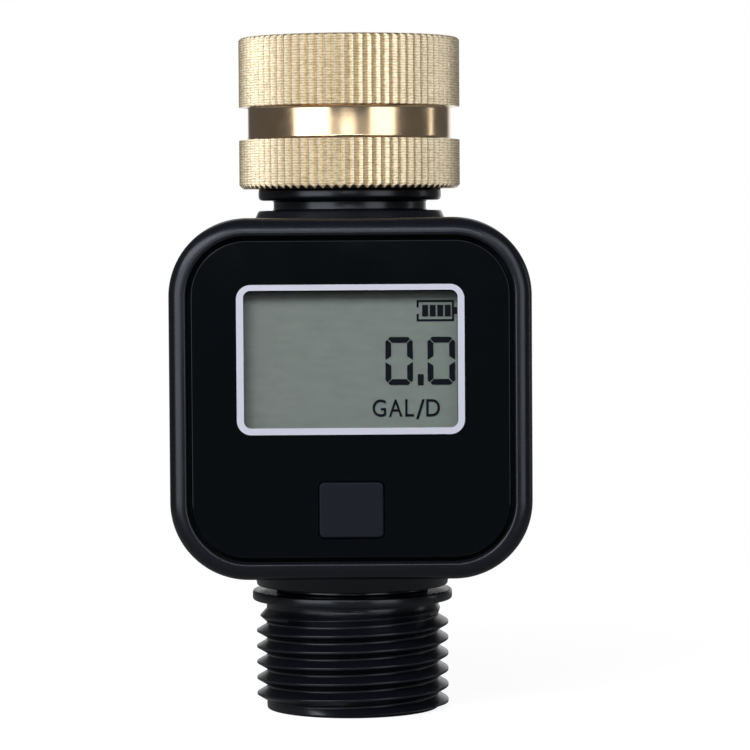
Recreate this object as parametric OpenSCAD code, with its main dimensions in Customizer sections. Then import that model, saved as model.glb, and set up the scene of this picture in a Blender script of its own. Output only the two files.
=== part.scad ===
// Digital in-line water meter for a garden hose: a square moulded housing around a turbine
// flow line, a knurled brass swivel nut at the inlet, a male hose thread at the outlet, and
// a display and a key on the front.
// Z is the flow axis with z = 0 at the outlet's end, and the display faces -Y.

/* [Outlet spigot] */
// Crest diameter of the outlet thread
thread_major_d = 26.9; // [26.4:0.05:27.3]
// Root diameter of the outlet thread
thread_minor_d = 24.1; // [23.4:0.05:24.6]
// Pitch of both hose threads
thread_pitch = 2.209; // [1.9:0.001:2.5]
// Flat on the crest and on the root of a thread
thread_flat = 0.28; // [0.15:0.01:0.45]
// Plain lead-in before the first thread crest
thread_lead = 0.64; // [0.5:0.02:1.2]
// Plain relief between the last thread and the flange
thread_relief = 2.6; // [1.5:0.1:4]
// Chamfer at the outlet's end
outlet_chamfer = 0.25; // [0.1:0.05:0.5]
// Length of the threaded spigot, up to the flange
outlet_len = 15.3; // [13:0.1:20]
// Diameter of the outlet flange
outlet_flange_d = 28; // [27:0.1:32]
// Thickness of the outlet flange
outlet_flange_t = 1.35; // [1:0.05:2.5]
// Chamfer on the edges of the outlet and inlet flanges
flange_chamfer = 0.3; // [0.1:0.05:0.4]
// Gap between the outlet flange and the collar
outlet_gap = 0.7; // [0.4:0.05:2]
// Height of the collar under the housing
outlet_collar_h = 2.45; // [1:0.05:4]
// Diameter of the outlet collar where it meets the housing
outlet_collar_d = 27.6; // [25:0.1:30]

/* [Inlet spigot] */
// Diameter of both necks and of the spigot in the nut
neck_d = 21.3; // [20:0.1:22]
// Height of the collar on top of the housing
inlet_collar_h = 1; // [0.5:0.05:2]
// Diameter of the inlet collar where it meets the housing
inlet_collar_d = 26.4; // [24:0.1:29]
// How much a collar's radius falls to its end
collar_taper = 0.45; // [0.1:0.05:0.8]
// Gap between the inlet collar and the flange
inlet_gap = 1.4; // [0.8:0.05:3]
// Diameter of the flange under the nut
inlet_flange_d = 25.5; // [24.5:0.1:27]
// Thickness of the flange under the nut
inlet_flange_t = 1.9; // [1.2:0.05:3]

/* [Housing] */
// Width of the housing
body_w = 49; // [47:0.1:60]
// Height of the housing
body_h = 48.9; // [47:0.1:60]
// Corner radius of the housing seen from the front
corner_r = 10.6; // [9.5:0.1:12]
// Width of the rim around the front
rim_w = 2.45; // [2:0.05:3]
// Outer rounding of the rim
rim_round = 1.9; // [1:0.05:1.95]
// Inner rounding of the rim
rim_inner_round = 0.4; // [0.2:0.05:0.5]
// Rounding of the rear edge
rear_round = 3; // [1:0.1:4]
// How far the rim stands in front of the panel
rim_proud = 0.6; // [0.3:0.05:1.5]
// Plastic between the chamber and the front and rear compartments
chamber_wall = 3.4; // [2.5:0.1:5]
// Height of the side pockets in the front compartment
pocket_h = 24; // [16:0.5:26]
// Plastic left behind the side pockets
pocket_back = 4.8; // [4:0.1:8]

/* [Flow line] */
// Diameter of the inlet bore
bore_d = 16; // [14:0.1:16.6]
// Diameter of the turbine chamber, open to the outlet
chamber_d = 18; // [17.4:0.1:19]
// Depth of the chamber's shoulder below the housing's top
shoulder_depth = 8; // [4:0.1:9]
// Length of the flow straightener
straightener_len = 14; // [11:0.1:15]
// Length of the turbine rotor
rotor_len = 14; // [11:0.1:15]
// Axial gap on each side of the rotor
rotor_gap = 1; // [0.5:0.1:1.5]
// Radial gap between the blades and the chamber
blade_gap = 0.6; // [0.3:0.05:1.2]
// Number of rotor blades
blade_count = 5; // [3:1:7]
// Thickness of a blade
blade_t = 1; // [0.7:0.05:1.5]
// Turn of a blade from end to end, in degrees
blade_twist = 80; // [30:5:100]
// Diameter of the rotor's hub
rotor_hub_d = 6.8; // [6:0.1:8]
// Length of the ring magnet
magnet_len = 4.2; // [2:0.1:5]
// Diameter of the ring magnet
magnet_d = 9.2; // [7:0.1:11]
// Diameter of the hub's nose inside the magnet
magnet_bore_d = 4.4; // [3.6:0.1:5]
// Length of the rotor support
support_len = 8; // [7:0.1:9]
// Diameter of the hubs before and after the rotor
fixed_hub_d = 6.4; // [5.6:0.1:7.5]
// Thickness of a straightener or support vane
vane_t = 1; // [0.7:0.05:1.5]
// How far a vane ends below the hub's round nose
vane_drop = 0.4; // [0.2:0.05:1]
// Number of straightener vanes
straightener_vanes = 4; // [3:1:6]
// Number of support vanes
support_vanes = 3; // [3:1:5]
// Diameter of the rotor's axle
axle_d = 2; // [1.5:0.05:2.4]
// Outer diameter of a bearing bush
bearing_d = 4; // [3.4:0.1:4.6]
// Length of a bearing bush
bearing_len = 3; // [2:0.1:3.6]
// Thickness of the support clip
clip_t = 1; // [0.6:0.05:1.4]
// Depth of the clip's groove in the chamber wall
clip_groove = 0.8; // [0.5:0.05:1.2]
// Radial width of the support clip
clip_w = 1.5; // [1.2:0.05:2.5]
// Opening of the support clip and of the nut's ring, in degrees
ring_opening = 36; // [15:1:60]

/* [Swivel nut] */
// Diameter over the knurls
nut_d = 30.8; // [30.4:0.1:34]
// Number of knurl teeth
knurl_teeth = 78; // [50:1:90]
// Depth of the knurl
knurl_depth = 0.5; // [0.2:0.05:0.6]
// Height of the lower knurled band
lower_knurl_h = 6.8; // [5:0.1:9]
// Height of the groove between the bands
nut_groove_h = 4.6; // [2:0.1:6]
// Diameter of the groove between the bands
nut_groove_d = 28.3; // [27.6:0.1:29.5]
// Height of the upper knurled band
upper_knurl_h = 9.6; // [8:0.1:14]
// Chamfer on the edges of the groove between the bands
knurl_chamfer = 0.15; // [0.1:0.05:0.6]
// Chamfer on the nut's lower edge
nut_lead_chamfer = 0.55; // [0.2:0.05:0.7]
// Chamfer on the nut's top edge
nut_top_chamfer = 0.7; // [0.3:0.05:1]
// Root diameter of the nut's thread
nut_thread_major_d = 27.3; // [26.8:0.05:27.6]
// Crest diameter of the nut's thread
nut_thread_minor_d = 24.8; // [24.4:0.05:25.2]
// Length of the nut's thread, with its mouth
nut_thread_len = 9.7; // [7:0.1:11]
// Depth of the chamfer at the nut's mouth
nut_mouth = 0.8; // [0.4:0.05:1.5]
// Diameter of the chamber below the nut's thread
nut_chamber_d = 25.6; // [25:0.1:26]
// Thickness of the nut's inner lip
nut_lip_t = 2.2; // [1.4:0.1:2.8]
// How far the nut reaches down over the flange
nut_overlap = 0.3; // [0.1:0.05:0.6]
// Thickness of the nut's retaining ring
ring_t = 1; // [0.6:0.05:1.4]
// Outer diameter of the nut's retaining ring
ring_d = 24.4; // [23.4:0.1:24.8]
// Depth of the retaining ring's groove in the spigot
ring_groove = 0.9; // [0.5:0.05:1.2]
// Thickness of the hose washer
washer_t = 3; // [2:0.1:4]
// Room between the washer and the nut's thread
washer_room = 0.4; // [0.2:0.05:1]

/* [Front panel and display] */
// Width of the shadow gap around the panel
panel_gap = 0.6; // [0.2:0.05:1]
// Thickness of the panel
panel_t = 1.6; // [1:0.05:2.5]
// Width of the ledge that carries the panel
ledge_w = 1.7; // [1.2:0.05:2.2]
// Thickness of the glue frame
adhesive_t = 0.2; // [0.1:0.05:0.5]
// Outer width of the white window frame
frame_w = 30.7; // [26:0.1:33]
// Outer height of the white window frame
frame_h = 20.4; // [16:0.1:22]
// Width of the white line
frame_line = 0.95; // [0.5:0.05:1.5]
// Outer corner radius of the white frame
frame_r = 1.95; // [1.6:0.05:3]
// Depth of the white line in the panel
frame_depth = 0.15; // [0.1:0.05:0.4]
// Height of the window's centre above the panel's centre
window_rise = 5.25; // [3:0.05:6.5]
// Thickness of the display
lcd_t = 1.8; // [1.2:0.1:2.6]
// How far the display reaches past the window at each side
lcd_side_margin = 0.8; // [0.4:0.05:1.2]
// How far the display reaches past the window above and below
lcd_end_margin = 1.3; // [1:0.05:1.6]
// Air between the display and the panel
lcd_air = 0.4; // [0.2:0.05:1]
// Height of a digit
digit_h = 6.45; // [4:0.05:7]
// Width of a digit
digit_w = 3.7; // [2.5:0.05:4.5]
// Thickness of a digit's segments
segment_t = 0.72; // [0.4:0.02:0.9]
// Gap between two segments of a digit
segment_gap = 0.18; // [0.08:0.01:0.3]
// Distance from one digit to the next
digit_pitch = 5.7; // [5.2:0.05:6.5]
// Distance from the last digit to the window's right edge
digit_margin = 0.4; // [0.2:0.05:2]
// How far the digits' centre lies below the window's centre
digit_drop = 0.2; // [-1:0.05:1]
// Width of the battery sign without its nub
sign_w = 5.05; // [4:0.05:6]
// Height of the battery sign
sign_h = 2.85; // [2:0.05:3.2]
// Line thickness of the battery sign
sign_line = 0.27; // [0.15:0.01:0.4]
// Height of the nub on the battery sign
sign_nub_h = 0.95; // [0.5:0.05:1.5]
// Number of bars in the battery sign
sign_bars = 4; // [2:1:5]
// Gap between the battery sign's outline and its bars
bar_margin = 0.35; // [0.2:0.05:0.6]
// Gap between two bars
bar_gap = 0.22; // [0.1:0.01:0.4]
// Distance from the battery sign to the window's top edge
sign_margin = 1.2; // [0.6:0.05:2]
// Thickness of the display's marks
mark_t = 0.08; // [0.05:0.01:0.15]

/* [Electronics] */
// Thickness of the circuit board
board_t = 1; // [0.8:0.1:1.6]
// Height of the bosses under the board
board_standoff = 1; // [0.8:0.05:2]
// Distance of a board screw from the board's side edges
board_screw_inset = 2.9; // [2.4:0.05:3.2]
// Plastic around a board screw in its boss
boss_wall = 0.55; // [0.4:0.05:1]
// Shank diameter of a board screw
board_screw_d = 1.2; // [1:0.1:1.6]
// Head diameter of a board screw
board_screw_head_d = 2.6; // [2:0.1:3]
// Head height of a board screw
board_screw_head_h = 0.7; // [0.5:0.05:0.8]
// Length of a board screw in the housing
board_screw_len = 5; // [3:0.5:8]
// Height of the rubber connectors under the display
zebra_h = 1; // [0.9:0.05:2]
// Width of a rubber connector
zebra_w = 1.8; // [1:0.1:2.4]
// Side of the controller chip
chip_w = 8; // [5:0.5:10]
// Height of the controller chip
chip_t = 0.75; // [0.5:0.05:0.8]
// Width of the magnet sensor
sensor_w = 4; // [2:0.1:6]
// Height of the magnet sensor
sensor_h = 3; // [2:0.1:4]

/* [Key] */
// Width of the key
key_w = 8.7; // [7:0.1:11]
// Height of the key
key_h = 7.55; // [6:0.05:9]
// Corner radius of the key
key_r = 0.7; // [0.3:0.05:1.5]
// How far the key stands in front of the panel
key_proud = 0.2; // [0:0.05:0.5]
// Distance from the key to the lower wall of the front compartment
key_room = 0.975; // [0.5:0.025:2]
// Gap around the key in the panel
key_gap = 0.15; // [0.1:0.01:0.4]
// Width of the key's hidden side wings
key_wing_w = 0.8; // [0.4:0.05:1]
// Thickness of the key's hidden side wings
key_wing_t = 0.7; // [0.4:0.05:0.8]
// Travel of the key
key_travel = 0.4; // [0.2:0.05:0.5]
// Diameter of the key's stem
key_stem_d = 3.4; // [2:0.1:4]
// Side of the switch's body
switch_w = 6; // [5:0.1:7]
// Height of the switch's body
switch_h = 1.1; // [0.9:0.05:1.2]
// Diameter of the switch's plunger
plunger_d = 3; // [2:0.1:3.4]
// How far the plunger stands out of the switch
plunger_proud = 0.6; // [0.5:0.05:0.8]

/* [Battery compartment] */
// Diameter of the coin cell
cell_d = 20; // [16:0.1:20.6]
// Thickness of the coin cell
cell_t = 3.2; // [2:0.1:4]
// Radial gap around the coin cell
cell_gap = 0.3; // [0.1:0.05:0.5]
// Room between the coin cell and the door
cell_room = 0.3; // [0.1:0.05:1]
// Thickness of the contact strips
contact_t = 0.4; // [0.2:0.05:0.6]
// Width of the contact strips
contact_w = 5; // [3:0.1:7]
// Width of the battery door
door_w = 29; // [28:0.1:32]
// Corner radius of the battery door
door_r = 4; // [2:0.1:6]
// Thickness of the battery door
door_t = 2.6; // [1.8:0.1:4]
// How deep the door lies below the rear face
door_inset = 0.3; // [0:0.05:1]
// Gap around the door
door_gap = 0.2; // [0.1:0.05:0.5]
// Width of the door's gasket
gasket_w = 1.7; // [1:0.05:2]
// Thickness of the door's gasket
gasket_t = 0.6; // [0.4:0.05:1.2]
// Distance of a door screw from the door's edges
door_screw_inset = 3.1; // [2.8:0.05:3.2]
// Shank diameter of a door screw
door_screw_d = 1.8; // [1.4:0.1:2]
// Head diameter of a door screw
door_screw_head_d = 3.6; // [3:0.1:4]
// Head height of a door screw
door_screw_head_h = 1.2; // [0.8:0.05:1.4]
// Length of a door screw in the housing
door_screw_len = 6; // [3:0.5:8]
// Width of a screw's cross recess
cross_line = 0.5; // [0.3:0.05:0.6]
// Metal left between a screw's cross recess and the edge of its head
cross_margin = 0.6; // [0.4:0.05:0.8]

/* [Fits] */
// Play of the nut along the spigot, at each side of its lip
swivel_play = 0.3; // [0.1:0.05:0.4]
// Radial gap between the nut and what it turns on
swivel_gap = 0.3; // [0.1:0.05:0.4]
// Radial gap of the axle in its bearings
running_gap = 0.04; // [0.02:0.01:0.08]
// Gap between pieces that are pushed together
slip_gap = 0.05; // [0.02:0.01:0.1]
// Gap that keeps a stem, a plunger or a slot clear
clear_gap = 0.3; // [0.2:0.05:0.4]

/* [Hidden] */
$fn = 96;
// Overrun of a cut past the face that it opens
over = 1;
// Steps along a twisted blade
blade_slices = 12;

// Radii
crest_r = thread_major_d / 2;
root_r = thread_minor_d / 2;
neck_r = neck_d / 2;
bore_r = bore_d / 2;
chamber_r = chamber_d / 2;
inlet_flange_r = inlet_flange_d / 2;
axle_r = axle_d / 2;
bearing_r = bearing_d / 2;
fixed_hub_r = fixed_hub_d / 2;
rotor_hub_r = rotor_hub_d / 2;
magnet_bore_r = magnet_bore_d / 2;
fixed_ring_r = chamber_r - slip_gap;
nut_lip_r = neck_r + swivel_gap;
nut_chamber_r = nut_chamber_d / 2;
washer_r = nut_chamber_r - swivel_gap;
ring_seat_r = neck_r - ring_groove;
cell_r = cell_d / 2;
well_r = cell_r + cell_gap;
gasket_inner_r = well_r + clear_gap;
gasket_outer_r = gasket_inner_r + gasket_w;

// Heights along the flow axis
flank = (thread_pitch - 2 * thread_flat) / 2;
out_flange_z0 = outlet_len;
out_flange_z1 = out_flange_z0 + outlet_flange_t;
out_collar_z0 = out_flange_z1 + outlet_gap;
body_z0 = out_collar_z0 + outlet_collar_h;
body_z1 = body_z0 + body_h;
mid_z = body_z0 + body_h / 2;
in_collar_z1 = body_z1 + inlet_collar_h;
in_flange_z0 = in_collar_z1 + inlet_gap;
in_flange_z1 = in_flange_z0 + inlet_flange_t;
nut_z0 = in_flange_z1 - nut_overlap;
lip_z0 = in_flange_z1 + swivel_play;
lip_z1 = lip_z0 + nut_lip_t;
ring_z0 = lip_z1 + swivel_play;
ring_z1 = ring_z0 + ring_t;
groove_z0 = nut_z0 + lower_knurl_h;
groove_z1 = groove_z0 + nut_groove_h;
nut_z1 = groove_z1 + upper_knurl_h;
nut_thread_z0 = nut_z1 - nut_thread_len;
spigot_z1 = nut_thread_z0 - washer_room - washer_t;
shoulder_z = body_z1 - shoulder_depth;
straightener_z0 = shoulder_z - straightener_len;
rotor_z1 = straightener_z0 - rotor_gap;
rotor_z0 = rotor_z1 - rotor_len;
support_z1 = rotor_z0 - rotor_gap;
support_z0 = support_z1 - support_len;
clip_z0 = support_z0 - clip_t;
magnet_z1 = rotor_z0 + magnet_len;

// Depths from the flow axis towards the front
floor_f = chamber_r + chamber_wall;
board_f0 = floor_f + board_standoff;
board_f1 = board_f0 + board_t;
lcd_f0 = board_f1 + zebra_h;
lcd_f1 = lcd_f0 + lcd_t;
panel_f0 = lcd_f1 + lcd_air;
panel_f1 = panel_f0 + panel_t;
front_f = panel_f1 + rim_proud;
ledge_f = panel_f0 - adhesive_t;
switch_f1 = board_f1 + switch_h;
plunger_f1 = switch_f1 + plunger_proud;
key_wing_f1 = panel_f0 - slip_gap;
key_wing_f0 = key_wing_f1 - key_wing_t;

// Depths from the flow axis towards the rear
cell_b0 = floor_f + contact_t;
cell_b1 = cell_b0 + cell_t;
gasket_b0 = cell_b1 + cell_room;
door_b0 = gasket_b0 + gasket_t;
door_b1 = door_b0 + door_t;
back_b = door_b1 + door_inset;
pocket_b = back_b - pocket_back;
// The positive contact's bridge crosses the wall at the middle of the cell's edge
bridge_b0 = (cell_b0 + cell_b1 - contact_t) / 2;
bridge_b1 = bridge_b0 + contact_t;

// Outlines seen from the front
recess_w = body_w - 2 * rim_w;
recess_h = body_h - 2 * rim_w;
recess_r = corner_r - rim_w;
panel_w = recess_w - 2 * panel_gap;
panel_h = recess_h - 2 * panel_gap;
panel_r = recess_r - panel_gap;
cavity_w = panel_w - 2 * ledge_w;
cavity_h = panel_h - 2 * ledge_w;
cavity_r = panel_r - ledge_w;
key_drop = cavity_h / 2 - key_room - key_h / 2;
board_w = cavity_w - 2 * clear_gap;
board_h = cavity_h - 2 * clear_gap;
board_r = cavity_r - clear_gap;
window_w = frame_w - 2 * frame_line;
window_h = frame_h - 2 * frame_line;
window_r = frame_r - frame_line;
lcd_w = window_w + 2 * lcd_side_margin;
lcd_h = window_h + 2 * lcd_end_margin;
board_screw_x = board_w / 2 - board_screw_inset;
board_screw_y = board_h / 2 - board_screw_inset;
door_screw_at = door_w / 2 - door_screw_inset;
boss_r = board_screw_d / 2 + slip_gap + boss_wall;
pocket_x0 = max(floor_f, door_screw_at + door_screw_d);
leg_x = pocket_x0 + clear_gap;
sensor_y = (rotor_z0 + magnet_z1) / 2 - mid_z;

// Places its children on the housing's face: x to the right, y up, z out of the front
module on_face()
    translate([0, 0, mid_z])
        rotate([90, 0, 0])
            children();

// A cylinder between two heights
module rod(r, z0, z1)
    translate([0, 0, z0])
        cylinder(r = r, h = z1 - z0);

// A tube between two heights
module tube(r_out, r_in, z0, z1)
    difference() {
        rod(r_out, z0, z1);
        rod(r_in, z0 - over, z1 + over);
    }

// A rectangle with round corners, centred on the origin
module rounded_rect(w, h, r) {
    square([w - 2 * r, h], center = true);
    square([w, h - 2 * r], center = true);
    at_corners(w / 2 - r, h / 2 - r)
        circle(r);
}

// A rounded plate between two depths
module plate(w, h, r, f0, f1)
    translate([0, 0, f0])
        linear_extrude(f1 - f0)
            rounded_rect(w, h, r);

// A square-cornered block between two depths
module slab(w, h, f0, f1)
    translate([-w / 2, -h / 2, f0])
        cube([w, h, f1 - f0]);

// Copies its children to the four corners of a rectangle
module at_corners(x, y)
    for (sx = [-1, 1], sy = [-1, 1])
        translate([sx * x, sy * y])
            children();

// Sweeps a profile around a rounded rectangle: x in the profile runs out from the corner's centre
module around(w, h, r)
    for (i = [0 : 3]) {
        along = i % 2 == 0 ? h : w;
        across = i % 2 == 0 ? w : h;
        rotate(90 * i)
            translate([across / 2 - r, along / 2 - r, 0]) {
                rotate_extrude(angle = 90)
                    children();
                rotate([90, 0, 0])
                    linear_extrude(along - 2 * r)
                        children();
            }
    }

// What rounding takes off a corner that points to +x and +y
module corner_cut(r)
    difference() {
        translate([-r, -r])
            square(r + over);
        translate([-r, -r])
            circle(r);
    }

// One thread ridge seen in section, from its foot at z
function ridge(foot_r, tip_r, z) = [
    [foot_r, z],
    [tip_r, z + flank],
    [tip_r, z + flank + thread_flat],
    [foot_r, z + 2 * flank + thread_flat]
];

// A band's section, with a chamfer at each end
function band(r, z0, z1, low, high) = [
    [r - low, z0],
    [r, z0 + low],
    [r, z1 - high],
    [r - high, z1]
];

// The square block of the housing, with its rounded rim and rear edge
module housing_block() {
    around(body_w, body_h, corner_r)
        difference() {
            translate([0, -back_b])
                square([corner_r, back_b + front_f]);
            translate([corner_r, front_f])
                corner_cut(rim_round);
            translate([corner_r, -back_b])
                mirror([0, 1])
                    corner_cut(rear_round);
        }
    slab(body_w - 2 * corner_r, body_h - 2 * corner_r, -back_b, front_f);
}

module outlet_spigot() {
    thread_count = floor((outlet_len - thread_lead - thread_relief) / thread_pitch);
    rotate_extrude()
        polygon(concat(
            [[0, 0], [root_r - outlet_chamfer, 0], [root_r, outlet_chamfer]],
            [for (i = [0 : thread_count - 1]) each ridge(root_r, crest_r, thread_lead + i * thread_pitch)],
            [[root_r, out_flange_z0]],
            band(outlet_flange_d / 2, out_flange_z0, out_flange_z1, flange_chamfer, flange_chamfer),
            [
                [neck_r, out_flange_z1],
                [neck_r, out_collar_z0],
                [outlet_collar_d / 2 - collar_taper, out_collar_z0],
                [outlet_collar_d / 2, body_z0],
                [outlet_collar_d / 2, body_z0 + over],
                [0, body_z0 + over]
            ]
        ));
}

module inlet_spigot()
    rotate_extrude()
        polygon(concat(
            [
                [0, body_z1 - over],
                [inlet_collar_d / 2, body_z1 - over],
                [inlet_collar_d / 2, body_z1],
                [inlet_collar_d / 2 - collar_taper, in_collar_z1],
                [neck_r, in_collar_z1],
                [neck_r, in_flange_z0]
            ],
            band(inlet_flange_r, in_flange_z0, in_flange_z1, flange_chamfer, flange_chamfer),
            [
                [neck_r, in_flange_z1],
                [neck_r, ring_z0 - slip_gap],
                [ring_seat_r, ring_z0 - slip_gap],
                [ring_seat_r, ring_z1 + slip_gap],
                [neck_r, ring_z1 + slip_gap],
                [neck_r, spigot_z1],
                [0, spigot_z1]
            ]
        ));

// The recess for the panel, the compartment behind it and the pockets beside the chamber
module front_cuts() {
    plate(recess_w, recess_h, recess_r, ledge_f, front_f + over);
    around(recess_w, recess_h, recess_r)
        translate([recess_r, front_f])
            mirror([1, 0])
                corner_cut(rim_inner_round);
    difference() {
        plate(cavity_w, cavity_h, cavity_r, floor_f, ledge_f + over);
        at_corners(board_screw_x, board_screw_y)
            rod(boss_r, floor_f - over, board_f0);
    }
    for (side = [-1, 1])
        translate([side * (pocket_x0 + cavity_w / 2) / 2, 0, 0])
            slab(cavity_w / 2 - pocket_x0, pocket_h, -pocket_b, floor_f + over);
    at_corners(board_screw_x, board_screw_y)
        rod(board_screw_d / 2 + slip_gap, board_f0 - board_screw_len - slip_gap, board_f0 + over);
}

// The battery door's seat, the coin cell's well and the slots for the contacts
module rear_cuts() {
    slot_w = contact_w + 2 * clear_gap;
    slot_x = pocket_x0 + over;
    plate(door_w + 2 * door_gap, door_w + 2 * door_gap, door_r + door_gap, -back_b - over, -door_b0);
    rod(gasket_outer_r + slip_gap, -door_b0 - over, -gasket_b0);
    rod(well_r, -gasket_b0 - over, -floor_f);
    at_corners(door_screw_at, door_screw_at)
        rod(door_screw_d / 2 + slip_gap, -door_b0 - over, slip_gap - door_b0 + door_screw_len);
    translate([-slot_x / 2, 0, 0])
        slab(slot_x, slot_w, -cell_b0 - clear_gap, -floor_f);
    translate([(slot_x + cell_r - clear_gap) / 2, 0, 0])
        slab(slot_x - cell_r + clear_gap, slot_w, -bridge_b1 - clear_gap, clear_gap - bridge_b0);
    translate([cell_r + contact_t / 2 + slip_gap, 0, 0])
        slab(contact_t + 2 * clear_gap, slot_w, -cell_b1, -cell_b0);
}

module flow_bores() {
    rod(chamber_r, -over, shoulder_z);
    rod(bore_r, shoulder_z - over, spigot_z1 + over);
    rod(chamber_r + clip_groove, clip_z0 - slip_gap, support_z0 + slip_gap);
}

module meter_body()
    color([0.13, 0.13, 0.15])
        difference() {
            union() {
                on_face()
                    housing_block();
                outlet_spigot();
                inlet_spigot();
            }
            on_face() {
                front_cuts();
                rear_cuts();
            }
            flow_bores();
        }

module swivel_nut() {
    nut_r = nut_d / 2;
    // The turned blank is larger than the knurl, so its chamfers run out through the teeth
    blank_r = nut_r + over;
    tooth_angle = 180 / knurl_teeth;
    thread_count = floor((nut_thread_len - nut_mouth) / thread_pitch);
    ridge_z0 = nut_thread_z0 + thread_flat;
    nut_root_r = nut_thread_major_d / 2;
    nut_crest_r = nut_thread_minor_d / 2;
    color([0.78, 0.68, 0.47])
        difference() {
            intersection() {
                rotate_extrude()
                    polygon(concat(
                        [[0, nut_z0]],
                        band(blank_r, nut_z0, groove_z0, nut_lead_chamfer + over, knurl_chamfer + over),
                        [[nut_groove_d / 2, groove_z0], [nut_groove_d / 2, groove_z1]],
                        band(blank_r, groove_z1, nut_z1, knurl_chamfer + over, nut_top_chamfer + over),
                        [[0, nut_z1]]
                    ));
                translate([0, 0, nut_z0])
                    linear_extrude(nut_z1 - nut_z0)
                        polygon([
                            for (i = [0 : 2 * knurl_teeth - 1])
                                let (r = i % 2 == 0 ? nut_r : nut_r - knurl_depth)
                                    [r * cos(i * tooth_angle), r * sin(i * tooth_angle)]
                        ]);
            }
            rod(inlet_flange_r + swivel_gap, nut_z0 - over, lip_z0);
            rod(nut_lip_r, nut_z0, lip_z1 + over);
            rod(nut_chamber_r, lip_z1, nut_thread_z0);
            rotate_extrude()
                polygon(concat(
                    [[0, nut_thread_z0 - over], [nut_crest_r, nut_thread_z0 - over]],
                    [
                        for (i = [0 : thread_count - 1])
                            each ridge(nut_crest_r, nut_root_r, ridge_z0 + i * thread_pitch)
                    ],
                    [
                        [nut_crest_r, nut_z1 - nut_mouth],
                        [nut_root_r, nut_z1],
                        [nut_root_r, nut_z1 + over],
                        [0, nut_z1 + over]
                    ]
                ));
        }
}

// A flat ring with an opening
module split_ring(r_out, r_in, z0, z1)
    rotate(90 + ring_opening / 2)
        rotate_extrude(angle = 360 - ring_opening)
            translate([r_in, z0])
                square([r_out - r_in, z1 - z0]);

module nut_retaining_ring()
    color([0.72, 0.72, 0.74])
        split_ring(ring_d / 2, ring_seat_r + slip_gap, ring_z0, ring_z1);

module hose_washer()
    color([0.1, 0.1, 0.1])
        tube(washer_r, bore_r, spigot_z1, spigot_z1 + washer_t);

// A hub with vanes in a ring: the bearing's pocket is at z = 0 and the nose is at the far end
module vaned_hub(len, vanes)
    difference() {
        union() {
            tube(fixed_ring_r, bore_r, 0, len);
            rod(fixed_hub_r, 0, len - fixed_hub_r);
            translate([0, 0, len - fixed_hub_r])
                sphere(fixed_hub_r);
            for (i = [0 : vanes - 1])
                rotate(360 * i / vanes)
                    translate([0, -vane_t / 2, 0])
                        cube([(bore_r + fixed_ring_r) / 2, vane_t, len - fixed_hub_r - vane_drop]);
        }
        rod(bearing_r + slip_gap, -over, bearing_len + slip_gap);
    }

module flow_straightener()
    color([0.9, 0.9, 0.88])
        translate([0, 0, straightener_z0])
            vaned_hub(straightener_len, straightener_vanes);

module rotor_support()
    color([0.9, 0.9, 0.88])
        translate([0, 0, support_z1])
            rotate([180, 0, 0])
                vaned_hub(support_len, support_vanes);

module turbine_rotor() {
    blade_z0 = magnet_z1 + slip_gap;
    blade_len = rotor_z1 - blade_z0;
    color([0.85, 0.87, 0.9])
        difference() {
            union() {
                rod(rotor_hub_r, blade_z0, rotor_z1);
                rod(magnet_bore_r - slip_gap, rotor_z0, blade_z0 + over);
                translate([0, 0, blade_z0])
                    linear_extrude(blade_len, twist = blade_twist, slices = blade_slices, $fn = blade_slices)
                        for (i = [0 : blade_count - 1])
                            rotate(360 * i / blade_count)
                                translate([rotor_hub_r / 2, -blade_t / 2])
                                    square([chamber_r - blade_gap - rotor_hub_r / 2, blade_t]);
            }
            rod(axle_r + slip_gap, rotor_z0 - over, rotor_z1 + over);
        }
}

module rotor_magnet()
    color([0.25, 0.25, 0.27])
        tube(magnet_d / 2, magnet_bore_r, rotor_z0, magnet_z1);

module rotor_axle()
    color([0.75, 0.75, 0.77])
        rod(axle_r, support_z1 - bearing_len + slip_gap, straightener_z0 + bearing_len - slip_gap);

module bearing(z0)
    color([0.82, 0.75, 0.6])
        tube(bearing_r, axle_r + running_gap, z0, z0 + bearing_len);

module inlet_bearing()
    bearing(straightener_z0);

module outlet_bearing()
    bearing(support_z1 - bearing_len);

module support_clip()
    color([0.72, 0.72, 0.74])
        split_ring(
            chamber_r + clip_groove - slip_gap,
            chamber_r + clip_groove - slip_gap - clip_w,
            clip_z0,
            support_z0
        );

module front_panel()
    color([0.04, 0.045, 0.055])
        on_face()
            difference() {
                plate(panel_w, panel_h, panel_r, panel_f0, panel_f1);
                translate([0, window_rise, 0]) {
                    plate(window_w, window_h, window_r, panel_f0 - over, panel_f1 + over);
                    plate(frame_w, frame_h, frame_r, panel_f1 - frame_depth, panel_f1 + over);
                }
                translate([0, -key_drop, 0])
                    plate(
                        key_w + 2 * key_gap,
                        key_h + 2 * key_gap,
                        key_r + key_gap,
                        panel_f0 - over,
                        panel_f1 + over
                    );
            }

module panel_adhesive()
    color([0.2, 0.2, 0.2])
        on_face()
            difference() {
                plate(panel_w, panel_h, panel_r, ledge_f, panel_f0);
                plate(cavity_w, cavity_h, cavity_r, ledge_f - over, panel_f0 + over);
            }

module window_frame()
    color([0.82, 0.82, 0.88])
        on_face()
            translate([0, window_rise, 0])
                difference() {
                    plate(frame_w, frame_h, frame_r, panel_f1 - frame_depth, panel_f1);
                    plate(window_w, window_h, window_r, panel_f0, panel_f1 + over);
                }

module display_window()
    color([0.8, 0.85, 0.85, 0.25])
        on_face()
            translate([0, window_rise, 0])
                plate(
                    window_w - 2 * slip_gap,
                    window_h - 2 * slip_gap,
                    window_r - slip_gap,
                    panel_f0,
                    panel_f1
                );

module lcd_module()
    color([0.46, 0.5, 0.47])
        on_face()
            translate([0, window_rise, 0])
                slab(lcd_w, lcd_h, lcd_f0, lcd_f1);

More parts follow.
